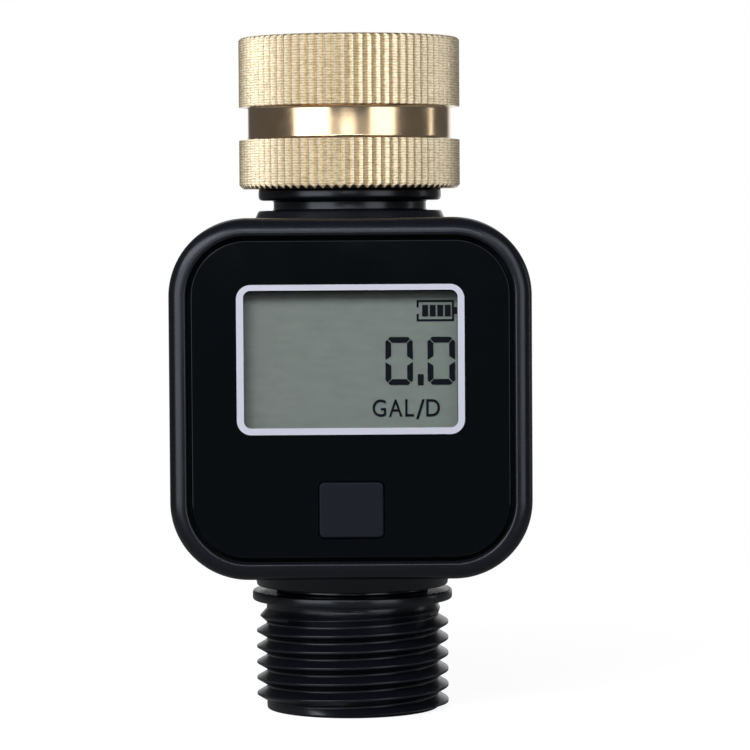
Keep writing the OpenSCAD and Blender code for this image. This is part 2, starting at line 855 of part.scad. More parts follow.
// One long segment: bevelled ends, lying along +y from the origin
module segment(len)
    polygon([
        [0, 0],
        [segment_t, segment_t],
        [segment_t, len - segment_t],
        [0, len]
    ]);

// The outline of a nought without its middle segment, centred on the origin
module nought() {
    half_h = digit_h / 2;
    for (side = [0, 1])
        mirror([side, 0]) {
            translate([-digit_w / 2, segment_gap])
                segment(half_h - 2 * segment_gap);
            translate([-digit_w / 2, segment_gap - half_h])
                segment(half_h - 2 * segment_gap);
        }
    for (end = [0, 1])
        mirror([0, end])
            translate([segment_gap - digit_w / 2, half_h])
                rotate(-90)
                    segment(digit_w - 2 * segment_gap);
}

// The battery sign: outline, nub and bars, with its lower left corner at the origin
module battery_sign() {
    bar_room = sign_line + bar_margin;
    bar_pitch = (sign_w - 2 * bar_room + bar_gap) / sign_bars;
    difference() {
        square([sign_w, sign_h]);
        translate([sign_line, sign_line])
            square([sign_w - 2 * sign_line, sign_h - 2 * sign_line]);
    }
    translate([sign_w - sign_line / 2, (sign_h - sign_nub_h) / 2])
        square([sign_line, sign_nub_h]);
    for (i = [0 : sign_bars - 1])
        translate([bar_room + i * bar_pitch, bar_room])
            square([bar_pitch - bar_gap, sign_h - 2 * bar_room]);
}

module lcd_marks() {
    last_x = window_w / 2 - digit_margin - digit_w / 2;
    sign_x = window_w / 2 - digit_margin - sign_w;
    sign_y = window_h / 2 - sign_margin - sign_h;
    point_x = last_x - digit_pitch / 2 - segment_t / 2;
    color([0.08, 0.09, 0.1])
        on_face()
            translate([0, window_rise, lcd_f1])
                linear_extrude(mark_t) {
                    for (i = [0, 1])
                        translate([last_x - i * digit_pitch, -digit_drop])
                            nought();
                    translate([point_x, -digit_drop - digit_h / 2])
                        square([segment_t, 2 * segment_t]);
                    translate([sign_x, sign_y])
                        battery_sign();
                }
}

module zebra_strips()
    color([0.2, 0.2, 0.22])
        on_face()
            for (end = [-1, 1])
                translate([0, window_rise + end * (lcd_h / 2 - zebra_w), 0])
                    slab(lcd_w - 2 * zebra_w, zebra_w, board_f1, lcd_f0);

module circuit_board()
    color([0.1, 0.35, 0.2])
        on_face()
            difference() {
                plate(board_w, board_h, board_r, board_f0, board_f1);
                at_corners(board_screw_x, board_screw_y)
                    rod(board_screw_d / 2 + slip_gap, board_f0 - over, board_f1 + over);
            }

// A pan-head screw with a cross recess: its head rests at z = 0 and its shank points to -z
module screw(shank_d, shank_len, head_d, head_h)
    difference() {
        union() {
            rod(shank_d / 2, -shank_len, head_h / 2);
            rod(head_d / 2, 0, head_h);
        }
        for (turn = [0, 90])
            rotate(turn)
                slab(head_d - 2 * cross_margin, cross_line, head_h / 2, head_h + over);
    }

module board_screws()
    color([0.7, 0.7, 0.72])
        on_face()
            at_corners(board_screw_x, board_screw_y)
                translate([0, 0, board_f1])
                    screw(board_screw_d, board_t + board_screw_len, board_screw_head_d, board_screw_head_h);

module controller_chip()
    color([0.06, 0.06, 0.06])
        on_face()
            translate([0, window_rise, 0])
                slab(chip_w, chip_w, board_f1, board_f1 + chip_t);

module hall_sensor()
    color([0.08, 0.08, 0.08])
        on_face()
            translate([0, sensor_y, 0])
                slab(sensor_w, sensor_h, floor_f + slip_gap, board_f0);

module mode_button()
    color([0.13, 0.135, 0.165])
        on_face()
            translate([0, -key_drop, 0]) {
                plate(key_w, key_h, key_r, key_wing_f0, panel_f1 + key_proud);
                slab(key_w + 2 * key_wing_w, key_h - 2 * key_r, key_wing_f0, key_wing_f1);
                rod(key_stem_d / 2, plunger_f1, key_wing_f1);
            }

module tact_switch()
    color([0.15, 0.15, 0.15])
        on_face()
            translate([0, -key_drop, 0])
                difference() {
                    slab(switch_w, switch_w, board_f1, switch_f1);
                    rod(plunger_d / 2 + clear_gap, board_f1 - over, switch_f1 + over);
                }

module switch_plunger()
    color([0.7, 0.65, 0.5])
        on_face()
            translate([0, -key_drop, 0])
                rod(plunger_d / 2, board_f1 + key_travel + slip_gap, plunger_f1);

module coin_cell()
    color([0.75, 0.75, 0.76])
        on_face()
            rod(cell_r, -cell_b1, -cell_b0);

// Lies on the well's floor, passes into the left pocket and runs forward to the board
module negative_contact()
    color([0.8, 0.75, 0.6])
        on_face() {
            translate([(contact_w - leg_x - contact_t) / 2, 0, 0])
                slab(leg_x + contact_t + contact_w, contact_w, -cell_b0, -floor_f);
            translate([-leg_x - contact_t / 2, 0, 0])
                slab(contact_t, contact_w, -cell_b0, board_f0);
        }

// Bears on the cell's edge, passes into the right pocket and runs forward to the board
module positive_contact() {
    tab_x = cell_r + slip_gap;
    color([0.8, 0.75, 0.6])
        on_face() {
            translate([tab_x + contact_t / 2, 0, 0])
                slab(contact_t, contact_w, slip_gap - cell_b1, -cell_b0 - slip_gap);
            translate([(tab_x + leg_x + contact_t) / 2, 0, 0])
                slab(leg_x + contact_t - tab_x, contact_w, -bridge_b1, -bridge_b0);
            translate([leg_x + contact_t / 2, 0, 0])
                slab(contact_t, contact_w, -bridge_b1, board_f0);
        }
}

module battery_door()
    color([0.13, 0.13, 0.15])
        on_face()
            difference() {
                plate(door_w, door_w, door_r, -door_b1, -door_b0);
                at_corners(door_screw_at, door_screw_at) {
                    rod(door_screw_d / 2 + slip_gap, -door_b1 - over, over - door_b0);
                    rod(door_screw_head_d / 2 + clear_gap, -door_b1 - over, door_screw_head_h - door_b1);
                }
            }

module door_gasket()
    color([0.3, 0.3, 0.32])
        on_face()
            tube(gasket_outer_r, gasket_inner_r, -door_b0, -gasket_b0);

module door_screws()
    color([0.7, 0.7, 0.72])
        on_face()
            at_corners(door_screw_at, door_screw_at)
                translate([0, 0, door_screw_head_h - door_b1])
                    mirror([0, 0, 1])
                        screw(
                            door_screw_d,
                            door_t - door_screw_head_h + door_screw_len,
                            door_screw_head_d,
                            door_screw_head_h
                        );

meter_body();
swivel_nut();
nut_retaining_ring();
hose_washer();
flow_straightener();
turbine_rotor();
rotor_magnet();
rotor_axle();
inlet_bearing();
outlet_bearing();
rotor_support();
support_clip();
front_panel();
panel_adhesive();
window_frame();
display_window();
lcd_module();
lcd_marks();
zebra_strips();
circuit_board();
board_screws();
controller_chip();
hall_sensor();
mode_button();
tact_switch();
switch_plunger();
coin_cell();
negative_contact();
positive_contact();
battery_door();
door_gasket();
door_screws();
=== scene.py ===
"""The looks of a digital in-line water meter: moulded black housing, knurled brass nut, display and key.

Lengths are written in millimetres and become metres where a mesh is made. The flow axis is z, from the
outlet's end at 0 up to the nut, and the front faces -y.
"""
import math

import bmesh
import bpy
import numpy as np
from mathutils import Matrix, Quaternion, Vector


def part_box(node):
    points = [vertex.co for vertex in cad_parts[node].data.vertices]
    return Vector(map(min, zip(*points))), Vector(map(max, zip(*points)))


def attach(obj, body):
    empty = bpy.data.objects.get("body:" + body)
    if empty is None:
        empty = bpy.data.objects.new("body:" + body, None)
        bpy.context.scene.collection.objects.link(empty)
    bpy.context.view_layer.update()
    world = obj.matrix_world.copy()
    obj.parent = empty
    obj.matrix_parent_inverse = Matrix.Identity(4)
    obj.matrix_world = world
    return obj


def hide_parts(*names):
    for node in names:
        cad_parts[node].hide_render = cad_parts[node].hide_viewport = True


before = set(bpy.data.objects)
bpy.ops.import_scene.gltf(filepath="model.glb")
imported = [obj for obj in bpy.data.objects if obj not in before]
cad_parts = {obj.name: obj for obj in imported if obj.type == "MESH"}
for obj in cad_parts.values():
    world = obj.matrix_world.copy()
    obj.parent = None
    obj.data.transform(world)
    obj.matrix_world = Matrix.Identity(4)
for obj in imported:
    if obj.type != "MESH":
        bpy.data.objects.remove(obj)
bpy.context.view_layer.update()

MM = 0.001


def box_mm(name):
    """A node's lowest and highest corners, in millimetres."""
    low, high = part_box(name)
    return low / MM, high / MM


# Places taken from the frame
body_low, body_high = box_mm("meter_body")
panel_low, panel_high = box_mm("front_panel")
border_low, border_high = box_mm("window_frame")
lcd_low, lcd_high = box_mm("lcd_module")
mark_low, mark_high = box_mm("lcd_marks")
key_low, key_high = box_mm("mode_button")
nut_low, nut_high = box_mm("swivel_nut")
washer_low, washer_high = box_mm("hose_washer")
door_low, door_high = box_mm("battery_door")
screws_low, screws_high = box_mm("door_screws")
cell_low, cell_high = box_mm("coin_cell")
gasket_low, gasket_high = box_mm("door_gasket")
clip_low, clip_high = box_mm("support_clip")
positive_low, positive_high = box_mm("positive_contact")
board_high = box_mm("circuit_board")[1]
board_screws_high = box_mm("board_screws")[1]
straightener_high = box_mm("flow_straightener")[1]
mid_z = (panel_low.z + panel_high.z) / 2

# Play of a seated piece, room around a loose one, and how far a cutting tool runs past a face
slip = 0.05
room = 0.3
past = 1

# Radius at which a lathe ends inside the waterway, and the width of the flat that ends a rounded edge
core_r = 0.5
edge_flat = 0.02

# Housing
rim_w = 2.45
panel_gap = 0.6
ledge_w = 1.7
corner_r = 10.6
rim_round = 1.9
rim_inner_round = 0.4
rear_round = 3
glue_t = 0.2
board_standoff = 1
pocket_h = 24
pocket_back = 4.8
housing_w = body_high.x - body_low.x
housing_h = panel_high.z - panel_low.z + 2 * (rim_w + panel_gap)
housing_z0 = mid_z - housing_h / 2
housing_z1 = mid_z + housing_h / 2
panel_r = corner_r - rim_w - panel_gap
cavity_inset = rim_w + panel_gap + ledge_w
cavity_y = board_high.y + board_standoff

# Battery compartment and screws
contact_t = 0.4
door_r = 4
door_gap = 0.2
door_head_r = 1.8
door_head_h = 1.2
door_shank_r = 0.9
board_head_r = 1.3
board_shank_r = 0.6
boss_r = 1.2
well_y = cell_low.y - contact_t
door_screw_at = screws_high.x - door_head_r

# Spigots, and how deep they reach into the housing
spigot_sink = 2
neck_r = 10.65
inlet_collar_r = 13.2
inlet_collar_h = 1
outlet_collar_r = 13.8
outlet_collar_h = 2.45
collar_taper = 0.45
inlet_gap = 1.4
inlet_flange_r = 12.75
inlet_flange_t = 1.9
outlet_gap = 0.7
outlet_flange_r = 14
outlet_flange_t = 1.35
bore_r = 8
chamber_r = 9
thread_root_r = 12.05
thread_crest_r = 13.45
thread_pitch = 2.209
thread_flat = 0.28

# Steps of a rounded rectangle's corner, an edge rounding, and full turns of several kinds
CORNER_STEPS = 28
EDGE_STEPS = 7
TURN_STEPS = 96
THREAD_STEPS = 240
ROD_STEPS = 32
SCREW_STEPS = 48

# The signs of x and z in a square's corners
CORNERS = [(-1, -1), (-1, 1), (1, -1), (1, 1)]


# Shapes

def arc_corner(before, corner, after, radius, steps):
    """Points of the arc that rounds a corner of a polyline."""
    back = (before - corner).normalized()
    ahead = (after - corner).normalized()
    half = back.angle(ahead) / 2
    start = corner + back * (radius / math.tan(half))
    end = corner + ahead * (radius / math.tan(half))
    centre = corner + (back + ahead).normalized() * (radius / math.sin(half))
    first = math.atan2(start.y - centre.y, start.x - centre.x)
    last = math.atan2(end.y - centre.y, end.x - centre.x)
    turn = (last - first + math.pi) % (2 * math.pi) - math.pi
    angles = [first + turn * i / steps for i in range(steps + 1)]
    return [centre + Vector((math.cos(a), math.sin(a))) * radius for a in angles]


def rounded_profile(points, steps=EDGE_STEPS):
    """A polyline through (u, v) or (u, v, radius) points, rounded at the corners that have a radius."""
    line = []
    for i, point in enumerate(points):
        corner = Vector(point[:2])
        if len(point) == 2:
            line.append(corner)
        else:
            before, after = Vector(points[i - 1][:2]), Vector(points[i + 1][:2])
            line += arc_corner(before, corner, after, point[2], steps)
    return line


def circle(r, z, steps):
    """A ring about the flow axis."""
    angles = np.arange(steps) * 2 * math.pi / steps
    return np.stack([r * np.cos(angles), r * np.sin(angles), np.full(steps, z)], axis=1)


def rounded_ring(w, h, r, y, centre_z=None, centre_x=0):
    """A rounded rectangle in a plane that faces the front."""
    centre_z = mid_z if centre_z is None else centre_z
    points = []
    for i, (sx, sz) in enumerate([(1, 1), (-1, 1), (-1, -1), (1, -1)]):
        for k in range(CORNER_STEPS + 1):
            angle = math.pi / 2 * (i + k / CORNER_STEPS)
            x = centre_x + sx * (w / 2 - r) + r * math.cos(angle)
            z = centre_z + sz * (h / 2 - r) + r * math.sin(angle)
            points.append((x, y, z))
    return np.array(points)


def new_object(name, data):
    """A new object in the scene."""
    made = bpy.data.objects.new(name, data)
    bpy.context.scene.collection.objects.link(made)
    return made


def evaluated_mesh(piece):
    """A copy of the mesh that a piece has after its modifiers."""
    depsgraph = bpy.context.evaluated_depsgraph_get()
    return bpy.data.meshes.new_from_object(piece.evaluated_get(depsgraph))


def weld(mesh):
    """Merges points that coincide, drops faces without area and turns all faces outwards."""
    reach = 2e-3 * MM
    build = bmesh.new()
    build.from_mesh(mesh)
    bmesh.ops.remove_doubles(build, verts=build.verts, dist=reach)
    bmesh.ops.dissolve_degenerate(build, edges=build.edges, dist=reach)
    bmesh.ops.recalc_face_normals(build, faces=build.faces)
    build.to_mesh(mesh)
    build.free()


class Shell:
    """Vertices and faces of a mesh under construction, in millimetres."""

    def __init__(self):
        self.vertices = []
        self.faces = []
        self.materials = []

    def add_ring(self, ring):
        start = len(self.vertices)
        self.vertices += [tuple(p) for p in ring]
        return list(range(start, len(self.vertices)))

    def add_face(self, face, material=0):
        self.faces.append(face)
        self.materials.append(material)

    def join_rings(self, a, b, material=0):
        for i in range(len(a)):
            j = (i + 1) % len(a)
            self.add_face([a[i], a[j], b[j], b[i]], material)

    def loft(self, rings, caps=(True, True), material=0):
        """Skins a row of rings with equal counts and closes its ends. Returns the rings' indices."""
        ids = [self.add_ring(ring) for ring in rings]
        for a, b in zip(ids, ids[1:]):
            self.join_rings(a, b, material)
        if caps[0]:
            self.add_face(ids[0][::-1], material)
        if caps[1]:
            self.add_face(ids[-1], material)
        return ids

    def lathe(self, profile, steps=TURN_STEPS, caps=(True, True), material=0):
        """Turns (radius, height) points about the flow axis."""
        return self.loft([circle(p[0], p[1], steps) for p in profile], caps, material)

    def prism(self, outline, y0, y1):
        """Extrudes a polygon of (x, z) points from one depth to another."""
        self.loft([[(x, y, z) for x, z in outline] for y in (y0, y1)])

    def to_object(self, name):
        mesh = bpy.data.meshes.new(name)
        mesh.from_pydata([Vector(v) * MM for v in self.vertices], [], self.faces)
        mesh.polygons.foreach_set("material_index", self.materials)
        weld(mesh)
        return new_object(name, mesh)


def block(low, high):
    """A closed box between two corners."""
    shell = Shell()
    xs, ys, zs = zip(low, high)
    ids = shell.add_ring([(x, y, z) for x in xs for y in ys for z in zs])
    for face in [(0, 1, 3, 2), (4, 6, 7, 5), (0, 4, 5, 1), (2, 3, 7, 6), (0, 2, 6, 4), (1, 5, 7, 3)]:
        shell.add_face([ids[i] for i in face])
    return shell


def turned(profile, steps=TURN_STEPS, caps=(True, True)):
    """Turns (radius, height) points about the flow axis into a shell of its own."""
    shell = Shell()
    shell.lathe(profile, steps, caps)
    return shell


def rod_y(x, z, r, y0, y1, steps=ROD_STEPS):
    """A closed rod that points to the front."""
    shell = Shell()
    turn = circle(r, 0, steps)
    shell.loft([[(x + p[0], y, z + p[1]) for p in turn] for y in (y0, y1)])
    return shell


def lathe_y(profile, z, steps=TURN_STEPS):
    """Turns (radius, depth) points about an axis that points to the front."""
    shell = Shell()
    shell.loft([[(p[0], v, z + p[1]) for p in circle(r, 0, steps)] for r, v in profile])
    return shell


def combine(target, tool, operation):
    """Joins a tool to a piece, or cuts it out of the piece, and deletes the tool."""
    modifier = target.modifiers.new(operation, "BOOLEAN")
    modifier.operation = operation
    modifier.solver = "EXACT"
    modifier.object = tool
    result = evaluated_mesh(target)
    weld(result)
    target.modifiers.clear()
    target.data = result
    bpy.data.objects.remove(tool)


def cut(target, shell):
    combine(target, shell.to_object("tool"), "DIFFERENCE")


def join(target, shell):
    combine(target, shell.to_object("tool"), "UNION")


def dress(piece, body, materials, replaced=(), sharp=35):
    """Finishes a piece: smooth shading with sharp creases, materials, its body and replaced nodes."""
    finish = [polygon.material_index for polygon in piece.data.polygons]
    piece.data.materials.clear()
    for material in materials:
        piece.data.materials.append(material)
    for polygon, index in zip(piece.data.polygons, finish):
        polygon.use_smooth = True
        polygon.material_index = min(index, len(materials) - 1)
    piece.data.set_sharp_from_angle(angle=math.radians(sharp))
    weighted = piece.modifiers.new("even_normals", "WEIGHTED_NORMAL")
    weighted.keep_sharp = True
    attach(piece, body)
    if replaced:
        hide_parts(*replaced)
    return piece


def helix_wall(shell, z_low, z_high, radius_at, section, start_z, steps, material=0):
    """Skins a threaded wall with rows that follow the helix, between two flat rings.

    section holds the shares of a pitch where the thread's section has its corners, radius_at gives the
    wall's radius from the share of a pitch and the height, and start_z is a crest's height at angle 0.
    """
    pitch = thread_pitch
    turns_below = 2
    turns = int((z_high - z_low) / pitch) + turns_below + 1
    first = z_low - turns_below * pitch
    base = start_z + pitch * math.floor((first - start_z) / pitch)
    rows = [base + (turn + share) * pitch for turn in range(turns + 1) for share in section]
    ids = []
    for row in rows:
        ring = []
        for k in range(steps):
            angle = 2 * math.pi * k / steps
            z = min(max(row + pitch * k / steps, z_low), z_high)
            share = ((z - start_z) / pitch - k / steps) % 1
            r = radius_at(share, z)
            ring.append((r * math.cos(angle), r * math.sin(angle), z))
        ids.append(shell.add_ring(ring))
    per_turn = len(section)
    last = len(rows) - 1
    for j in range(last):
        for k in range(steps):
            wrap = k == steps - 1
            next_k = 0 if wrap else k + 1
            low = min(j + per_turn, last) if wrap else j
            high = min(j + 1 + per_turn, last) if wrap else j + 1
            shell.add_face([ids[j][k], ids[low][next_k], ids[high][next_k], ids[j + 1][k]], material)


def thread_section(height):
    """One pitch of a hose thread as shares of the pitch and heights there, with its crest at share 0."""
    crest_half = thread_flat / 2
    root_half = thread_pitch / 2 - thread_flat / 2
    crest_round = 0.06
    line = rounded_profile(
        [
            (0, height),
            (crest_half, height, crest_round),
            (root_half, 0, crest_round),
            (thread_pitch / 2, 0),
        ],
        steps=3,
    )
    rising = [(p.x / thread_pitch, p.y) for p in line]
    falling = [(1 - share, h) for share, h in rising[::-1]]
    shares, heights = zip(*rising, *falling[1:])
    return shares, heights


# Materials

def new_material(name):
    material = bpy.data.materials.new(name)
    material.use_nodes = True
    tree = material.node_tree
    return material, tree, tree.nodes["Principled BSDF"]


def node(tree, kind, **inputs):
    """A new node, with its input values set by name."""
    made = tree.nodes.new(kind)
    for name, value in inputs.items():
        made.inputs[name.replace("_", " ")].default_value = value
    return made


def noise(tree, scale, detail=4, roughness=0.55, stretch=None):
    """A noise pattern in the object's own coordinates, with scale in waves per metre."""
    place = tree.nodes.new("ShaderNodeTexCoord")
    source = place.outputs["Object"]
    if stretch:
        mapping = node(tree, "ShaderNodeMapping", Scale=stretch)
        tree.links.new(source, mapping.inputs["Vector"])
        source = mapping.outputs["Vector"]
    made = node(tree, "ShaderNodeTexNoise", Scale=scale, Detail=detail, Roughness=roughness)
    tree.links.new(source, made.inputs["Vector"])
    return made.outputs["Fac"]


def ramp(tree, source, low, high, from_low=0.3, from_high=0.7):
    """Maps a pattern to a range of values."""
    made = node(tree, "ShaderNodeMapRange", From_Min=from_low, From_Max=from_high, To_Min=low, To_Max=high)
    tree.links.new(source, made.inputs["Value"])
    return made.outputs["Result"]


def tint(tree, source, dark, light):
    """Mixes two colours by a pattern."""
    made = tree.nodes.new("ShaderNodeMix")
    made.data_type = "RGBA"
    made.inputs["A"].default_value = (*dark, 1)
    made.inputs["B"].default_value = (*light, 1)
    tree.links.new(source, made.inputs["Factor"])
    return made.outputs["Result"]


def feed(tree, socket, value):
    """Sets a socket to a number, or links it to another socket."""
    if isinstance(value, (int, float)):
        socket.default_value = value
    else:
        tree.links.new(value, socket)


def calculate(tree, operation, *values):
    """The result of a math node on numbers or sockets."""
    made = tree.nodes.new("ShaderNodeMath")
    made.operation = operation
    for socket, value in zip(made.inputs, values):
        feed(tree, socket, value)
    return made.outputs["Value"]


def mix_value(tree, factor, a, b):
    """a where the factor is 0 and b where it is 1; each may be a number or a socket."""
    made = tree.nodes.new("ShaderNodeMix")
    for name, value in (("Factor", factor), ("A", a), ("B", b)):
        feed(tree, made.inputs[name], value)
    return made.outputs["Result"]


def bump(tree, shader, height, strength, distance):
    """Lets a pattern press fine relief into a shader's normal."""
    made = node(tree, "ShaderNodeBump", Strength=strength, Distance=distance)
    tree.links.new(height, made.inputs["Height"])
    tree.links.new(made.outputs["Normal"], shader.inputs["Normal"])


def shade(colour, factor):
    return tuple(min(c * factor, 1) for c in colour)


def clouded(tree, shader, scale, colour, vary, roughness, spread):
    """Lets a shader's colour and roughness drift together."""
    cloud = noise(tree, scale)
    colours = tint(tree, cloud, shade(colour, 1 - vary), shade(colour, 1 + vary))
    tree.links.new(colours, shader.inputs["Base Color"])
    tree.links.new(ramp(tree, cloud, roughness - spread, roughness + spread), shader.inputs["Roughness"])


def plastic(name, colour, roughness, spread=0.05, vary=0.12, grain=2500, grain_depth=0.15, gloss=0.5):
    """A moulded plastic: clouded colour, uneven gloss and a fine spark-eroded grain."""
    cloud_scale = 180
    grain_height = 0.00004
    material, tree, shader = new_material(name)
    clouded(tree, shader, cloud_scale, colour, vary, roughness, spread)
    bump(tree, shader, noise(tree, grain, detail=2), grain_depth, grain_height)
    shader.inputs["Specular IOR Level"].default_value = gloss
    shader.inputs["Specular Tint"].default_value = (0.84, 0.9, 1, 1)
    return material


def metal(name, colour, roughness, spread=0.06, vary=0.1, lines=None, depth=0.00002):
    """A bare metal with uneven tone and gloss, and with turning lines where their spacing is given."""
    cloud_scale = 350
    material, tree, shader = new_material(name)
    clouded(tree, shader, cloud_scale, colour, vary, roughness, spread)
    shader.inputs["Metallic"].default_value = 1
    if lines:
        grain = noise(tree, 1, detail=3, stretch=(40, 40, 1 / (lines * MM)))
    else:
        grain = noise(tree, 3000, detail=2)
    bump(tree, shader, grain, 1, depth)
    return material


def knurl_rows(tree):
    """The cutter's rows across the teeth: fine waves along the axis, broken up by dashes."""
    dash_share = 0.68
    place = tree.nodes.new("ShaderNodeTexCoord")
    waves = node(tree, "ShaderNodeTexWave", Scale=900, Distortion=3.5, Detail=2, Detail_Scale=2)
    waves.bands_direction = "Z"
    tree.links.new(place.outputs["Object"], waves.inputs["Vector"])
    dashes = noise(tree, 1, detail=1, stretch=(1500, 1500, 3800))
    return mix_value(tree, dash_share, waves.outputs["Fac"], dashes)


def brass_knurl():
    """Pale brass with the cutter's fine rows across each tooth."""
    pale, deep = (0.90, 0.805, 0.62), (0.56, 0.45, 0.28)
    cloud_share = 0.3
    row_height = 0.00003
    material, tree, shader = new_material("brass_knurl")
    rows = knurl_rows(tree)
    cloud = noise(tree, 200)
    tone = calculate(tree, "MULTIPLY_ADD", cloud, cloud_share, ramp(tree, rows, -0.2, 1.1, 0.25, 0.75))
    tree.links.new(tint(tree, tone, deep, pale), shader.inputs["Base Color"])
    tree.links.new(ramp(tree, cloud, 0.49, 0.58), shader.inputs["Roughness"])
    shader.inputs["Metallic"].default_value = 1
    bump(tree, shader, rows, 1, row_height)
    return material


def clear_pane():
    """A thin clear pane that lets light through and mirrors a little."""
    material, tree, shader = new_material("pane_clear")
    tree.nodes.remove(shader)
    through = node(tree, "ShaderNodeBsdfTransparent", Color=(0.98, 0.988, 0.983, 1))
    mirror = node(tree, "ShaderNodeBsdfGlossy", Color=(1, 1, 1, 1))
    smear = noise(tree, 120)
    tree.links.new(ramp(tree, smear, 0.02, 0.07), mirror.inputs["Roughness"])
    facing = node(tree, "ShaderNodeLayerWeight", Blend=0.5)
    grazing = calculate(tree, "POWER", facing.outputs["Facing"], 5)
    mix = tree.nodes.new("ShaderNodeMixShader")
    tree.links.new(ramp(tree, grazing, 0.035, 1, 0, 1), mix.inputs["Fac"])
    tree.links.new(through.outputs["BSDF"], mix.inputs[1])
    tree.links.new(mirror.outputs["BSDF"], mix.inputs[2])
    tree.links.new(mix.outputs["Shader"], tree.nodes["Material Output"].inputs["Surface"])
    return material


def display_glass():
    """The display's clouded reflector, greener towards the right, with a painted shadow that darkens it under
    the top of the border.
    """
    grey, green = (0.265, 0.288, 0.282), (0.25, 0.296, 0.276)
    cloud_share = 0.5
    # Painted shadow: the colour darkens towards the display's top edge, where the border's shadow falls
    painted_shadow_dark = 0.4
    painted_shadow_start, painted_shadow_end = border_high.z - 1.55, border_high.z - 1.2
    material, tree, shader = new_material("display_glass")
    place = tree.nodes.new("ShaderNodeTexCoord")
    axes = tree.nodes.new("ShaderNodeSeparateXYZ")
    tree.links.new(place.outputs["Object"], axes.inputs["Vector"])
    cloud = noise(tree, 420, detail=6)
    across = ramp(tree, axes.outputs["X"], -0.1, 0.6, lcd_low.x * MM, lcd_high.x * MM)
    colour = tint(tree, calculate(tree, "MULTIPLY_ADD", cloud, cloud_share, across), grey, green)
    # Painted shadow under the border's top, multiplied into the colour together with the mottle
    painted_shadow = ramp(tree, axes.outputs["Z"], 1, painted_shadow_dark, painted_shadow_start * MM, painted_shadow_end * MM)
    mottle = ramp(tree, noise(tree, 1, detail=5, stretch=(350, 350, 900)), 0.94, 1.06)
    shadowed_colour = tree.nodes.new("ShaderNodeVectorMath")
    shadowed_colour.operation = "SCALE"
    tree.links.new(colour, shadowed_colour.inputs["Vector"])
    tree.links.new(calculate(tree, "MULTIPLY", mottle, painted_shadow), shadowed_colour.inputs["Scale"])
    tree.links.new(shadowed_colour.outputs["Vector"], shader.inputs["Base Color"])
    tree.links.new(ramp(tree, cloud, 0.42, 0.5), shader.inputs["Roughness"])
    shader.inputs["Specular IOR Level"].default_value = 0.1
    return material


black_plastic = plastic(
    "black_plastic", (0.0042, 0.0052, 0.0085), 0.25, 0.025, grain=3200, grain_depth=0.12, gloss=0.46
)
seat_plastic = plastic("seat_plastic", (0.013, 0.0145, 0.019), 0.7, grain=2600, grain_depth=0.4, gloss=0.04)
door_plastic = plastic("door_plastic", (0.007, 0.008, 0.012), 0.42, grain=2600, grain_depth=0.35, gloss=0.4)
panel_gloss = plastic(
    "panel_gloss", (0.0018, 0.0028, 0.0042), 0.06, 0.02, grain=500, grain_depth=0.01, gloss=0.3
)
key_plastic = plastic("key_plastic", (0.0082, 0.0094, 0.0165), 0.5, grain=2600, grain_depth=0.3, gloss=0.15)
border_ink = plastic("border_ink", (0.72, 0.73, 0.86), 0.5, vary=0.05, grain=1800, gloss=0.2)
mark_ink = plastic("mark_ink", (0.0014, 0.0030, 0.0088), 0.5, grain=1500, gloss=0.02)
white_plastic = plastic("white_plastic", (0.72, 0.73, 0.71), 0.4, vary=0.05)
rotor_plastic = plastic("rotor_plastic", (0.62, 0.66, 0.70), 0.38, vary=0.05)
washer_rubber = plastic("washer_rubber", (0.016, 0.016, 0.017), 0.7, grain=1400, grain_depth=0.5)
gasket_rubber = plastic("gasket_rubber", (0.07, 0.07, 0.075), 0.7, grain=1400, grain_depth=0.5)
connector_rubber = plastic("connector_rubber", (0.03, 0.03, 0.034), 0.65)
glue_film = plastic("glue_film", (0.012, 0.012, 0.012), 0.6)
board_mask = plastic("board_mask", (0.012, 0.085, 0.035), 0.3, vary=0.2)
chip_epoxy = plastic("chip_epoxy", (0.008, 0.008, 0.008), 0.55)
magnet_ferrite = plastic("magnet_ferrite", (0.03, 0.03, 0.033), 0.55, vary=0.2)
knurl_brass = brass_knurl()
turned_brass = metal("turned_brass", (0.85, 0.64, 0.415), 0.18, 0.04, vary=0.1, lines=0.6, depth=0.000003)
inner_brass = metal("inner_brass", (0.76, 0.61, 0.36), 0.28, 0.04, lines=0.25, depth=0.000002)
steel = metal("steel", (0.55, 0.55, 0.57), 0.3)
cell_steel = metal("cell_steel", (0.62, 0.62, 0.63), 0.26)
contact_bronze = metal("contact_bronze", (0.78, 0.70, 0.50), 0.3)
bush_bronze = metal("bush_bronze", (0.62, 0.43, 0.22), 0.35)
pane_clear = clear_pane()
lcd_glass = display_glass()


# Housing

def housing_rings():
    """The housing from its front compartment's floor over the rim and round to the door's seat."""
    ledge_y = panel_high.y + glue_t
    rear_flat = 1
    outline = rounded_profile(
        [
            (cavity_inset, cavity_y),
            (cavity_inset, ledge_y),
            (rim_w, ledge_y),
            (rim_w, body_low.y, rim_inner_round),
            (0, body_low.y, rim_round),
            (0, body_high.y, rear_round),
            (rear_round + rear_flat, body_high.y),
        ]
    )
    rings = [rounded_ring(housing_w - 2 * u, housing_h - 2 * u, corner_r - u, v) for u, v in outline]
    seat_edge = 0.25
    seat = door_high.x - door_low.x + 2 * door_gap
    seat_r = door_r + door_gap
    for grow, y in [(seat_edge, body_high.y), (0, body_high.y - seat_edge), (0, door_low.y)]:
        rings.append(rounded_ring(seat + 2 * grow, seat + 2 * grow, seat_r + grow, y))
    return rings


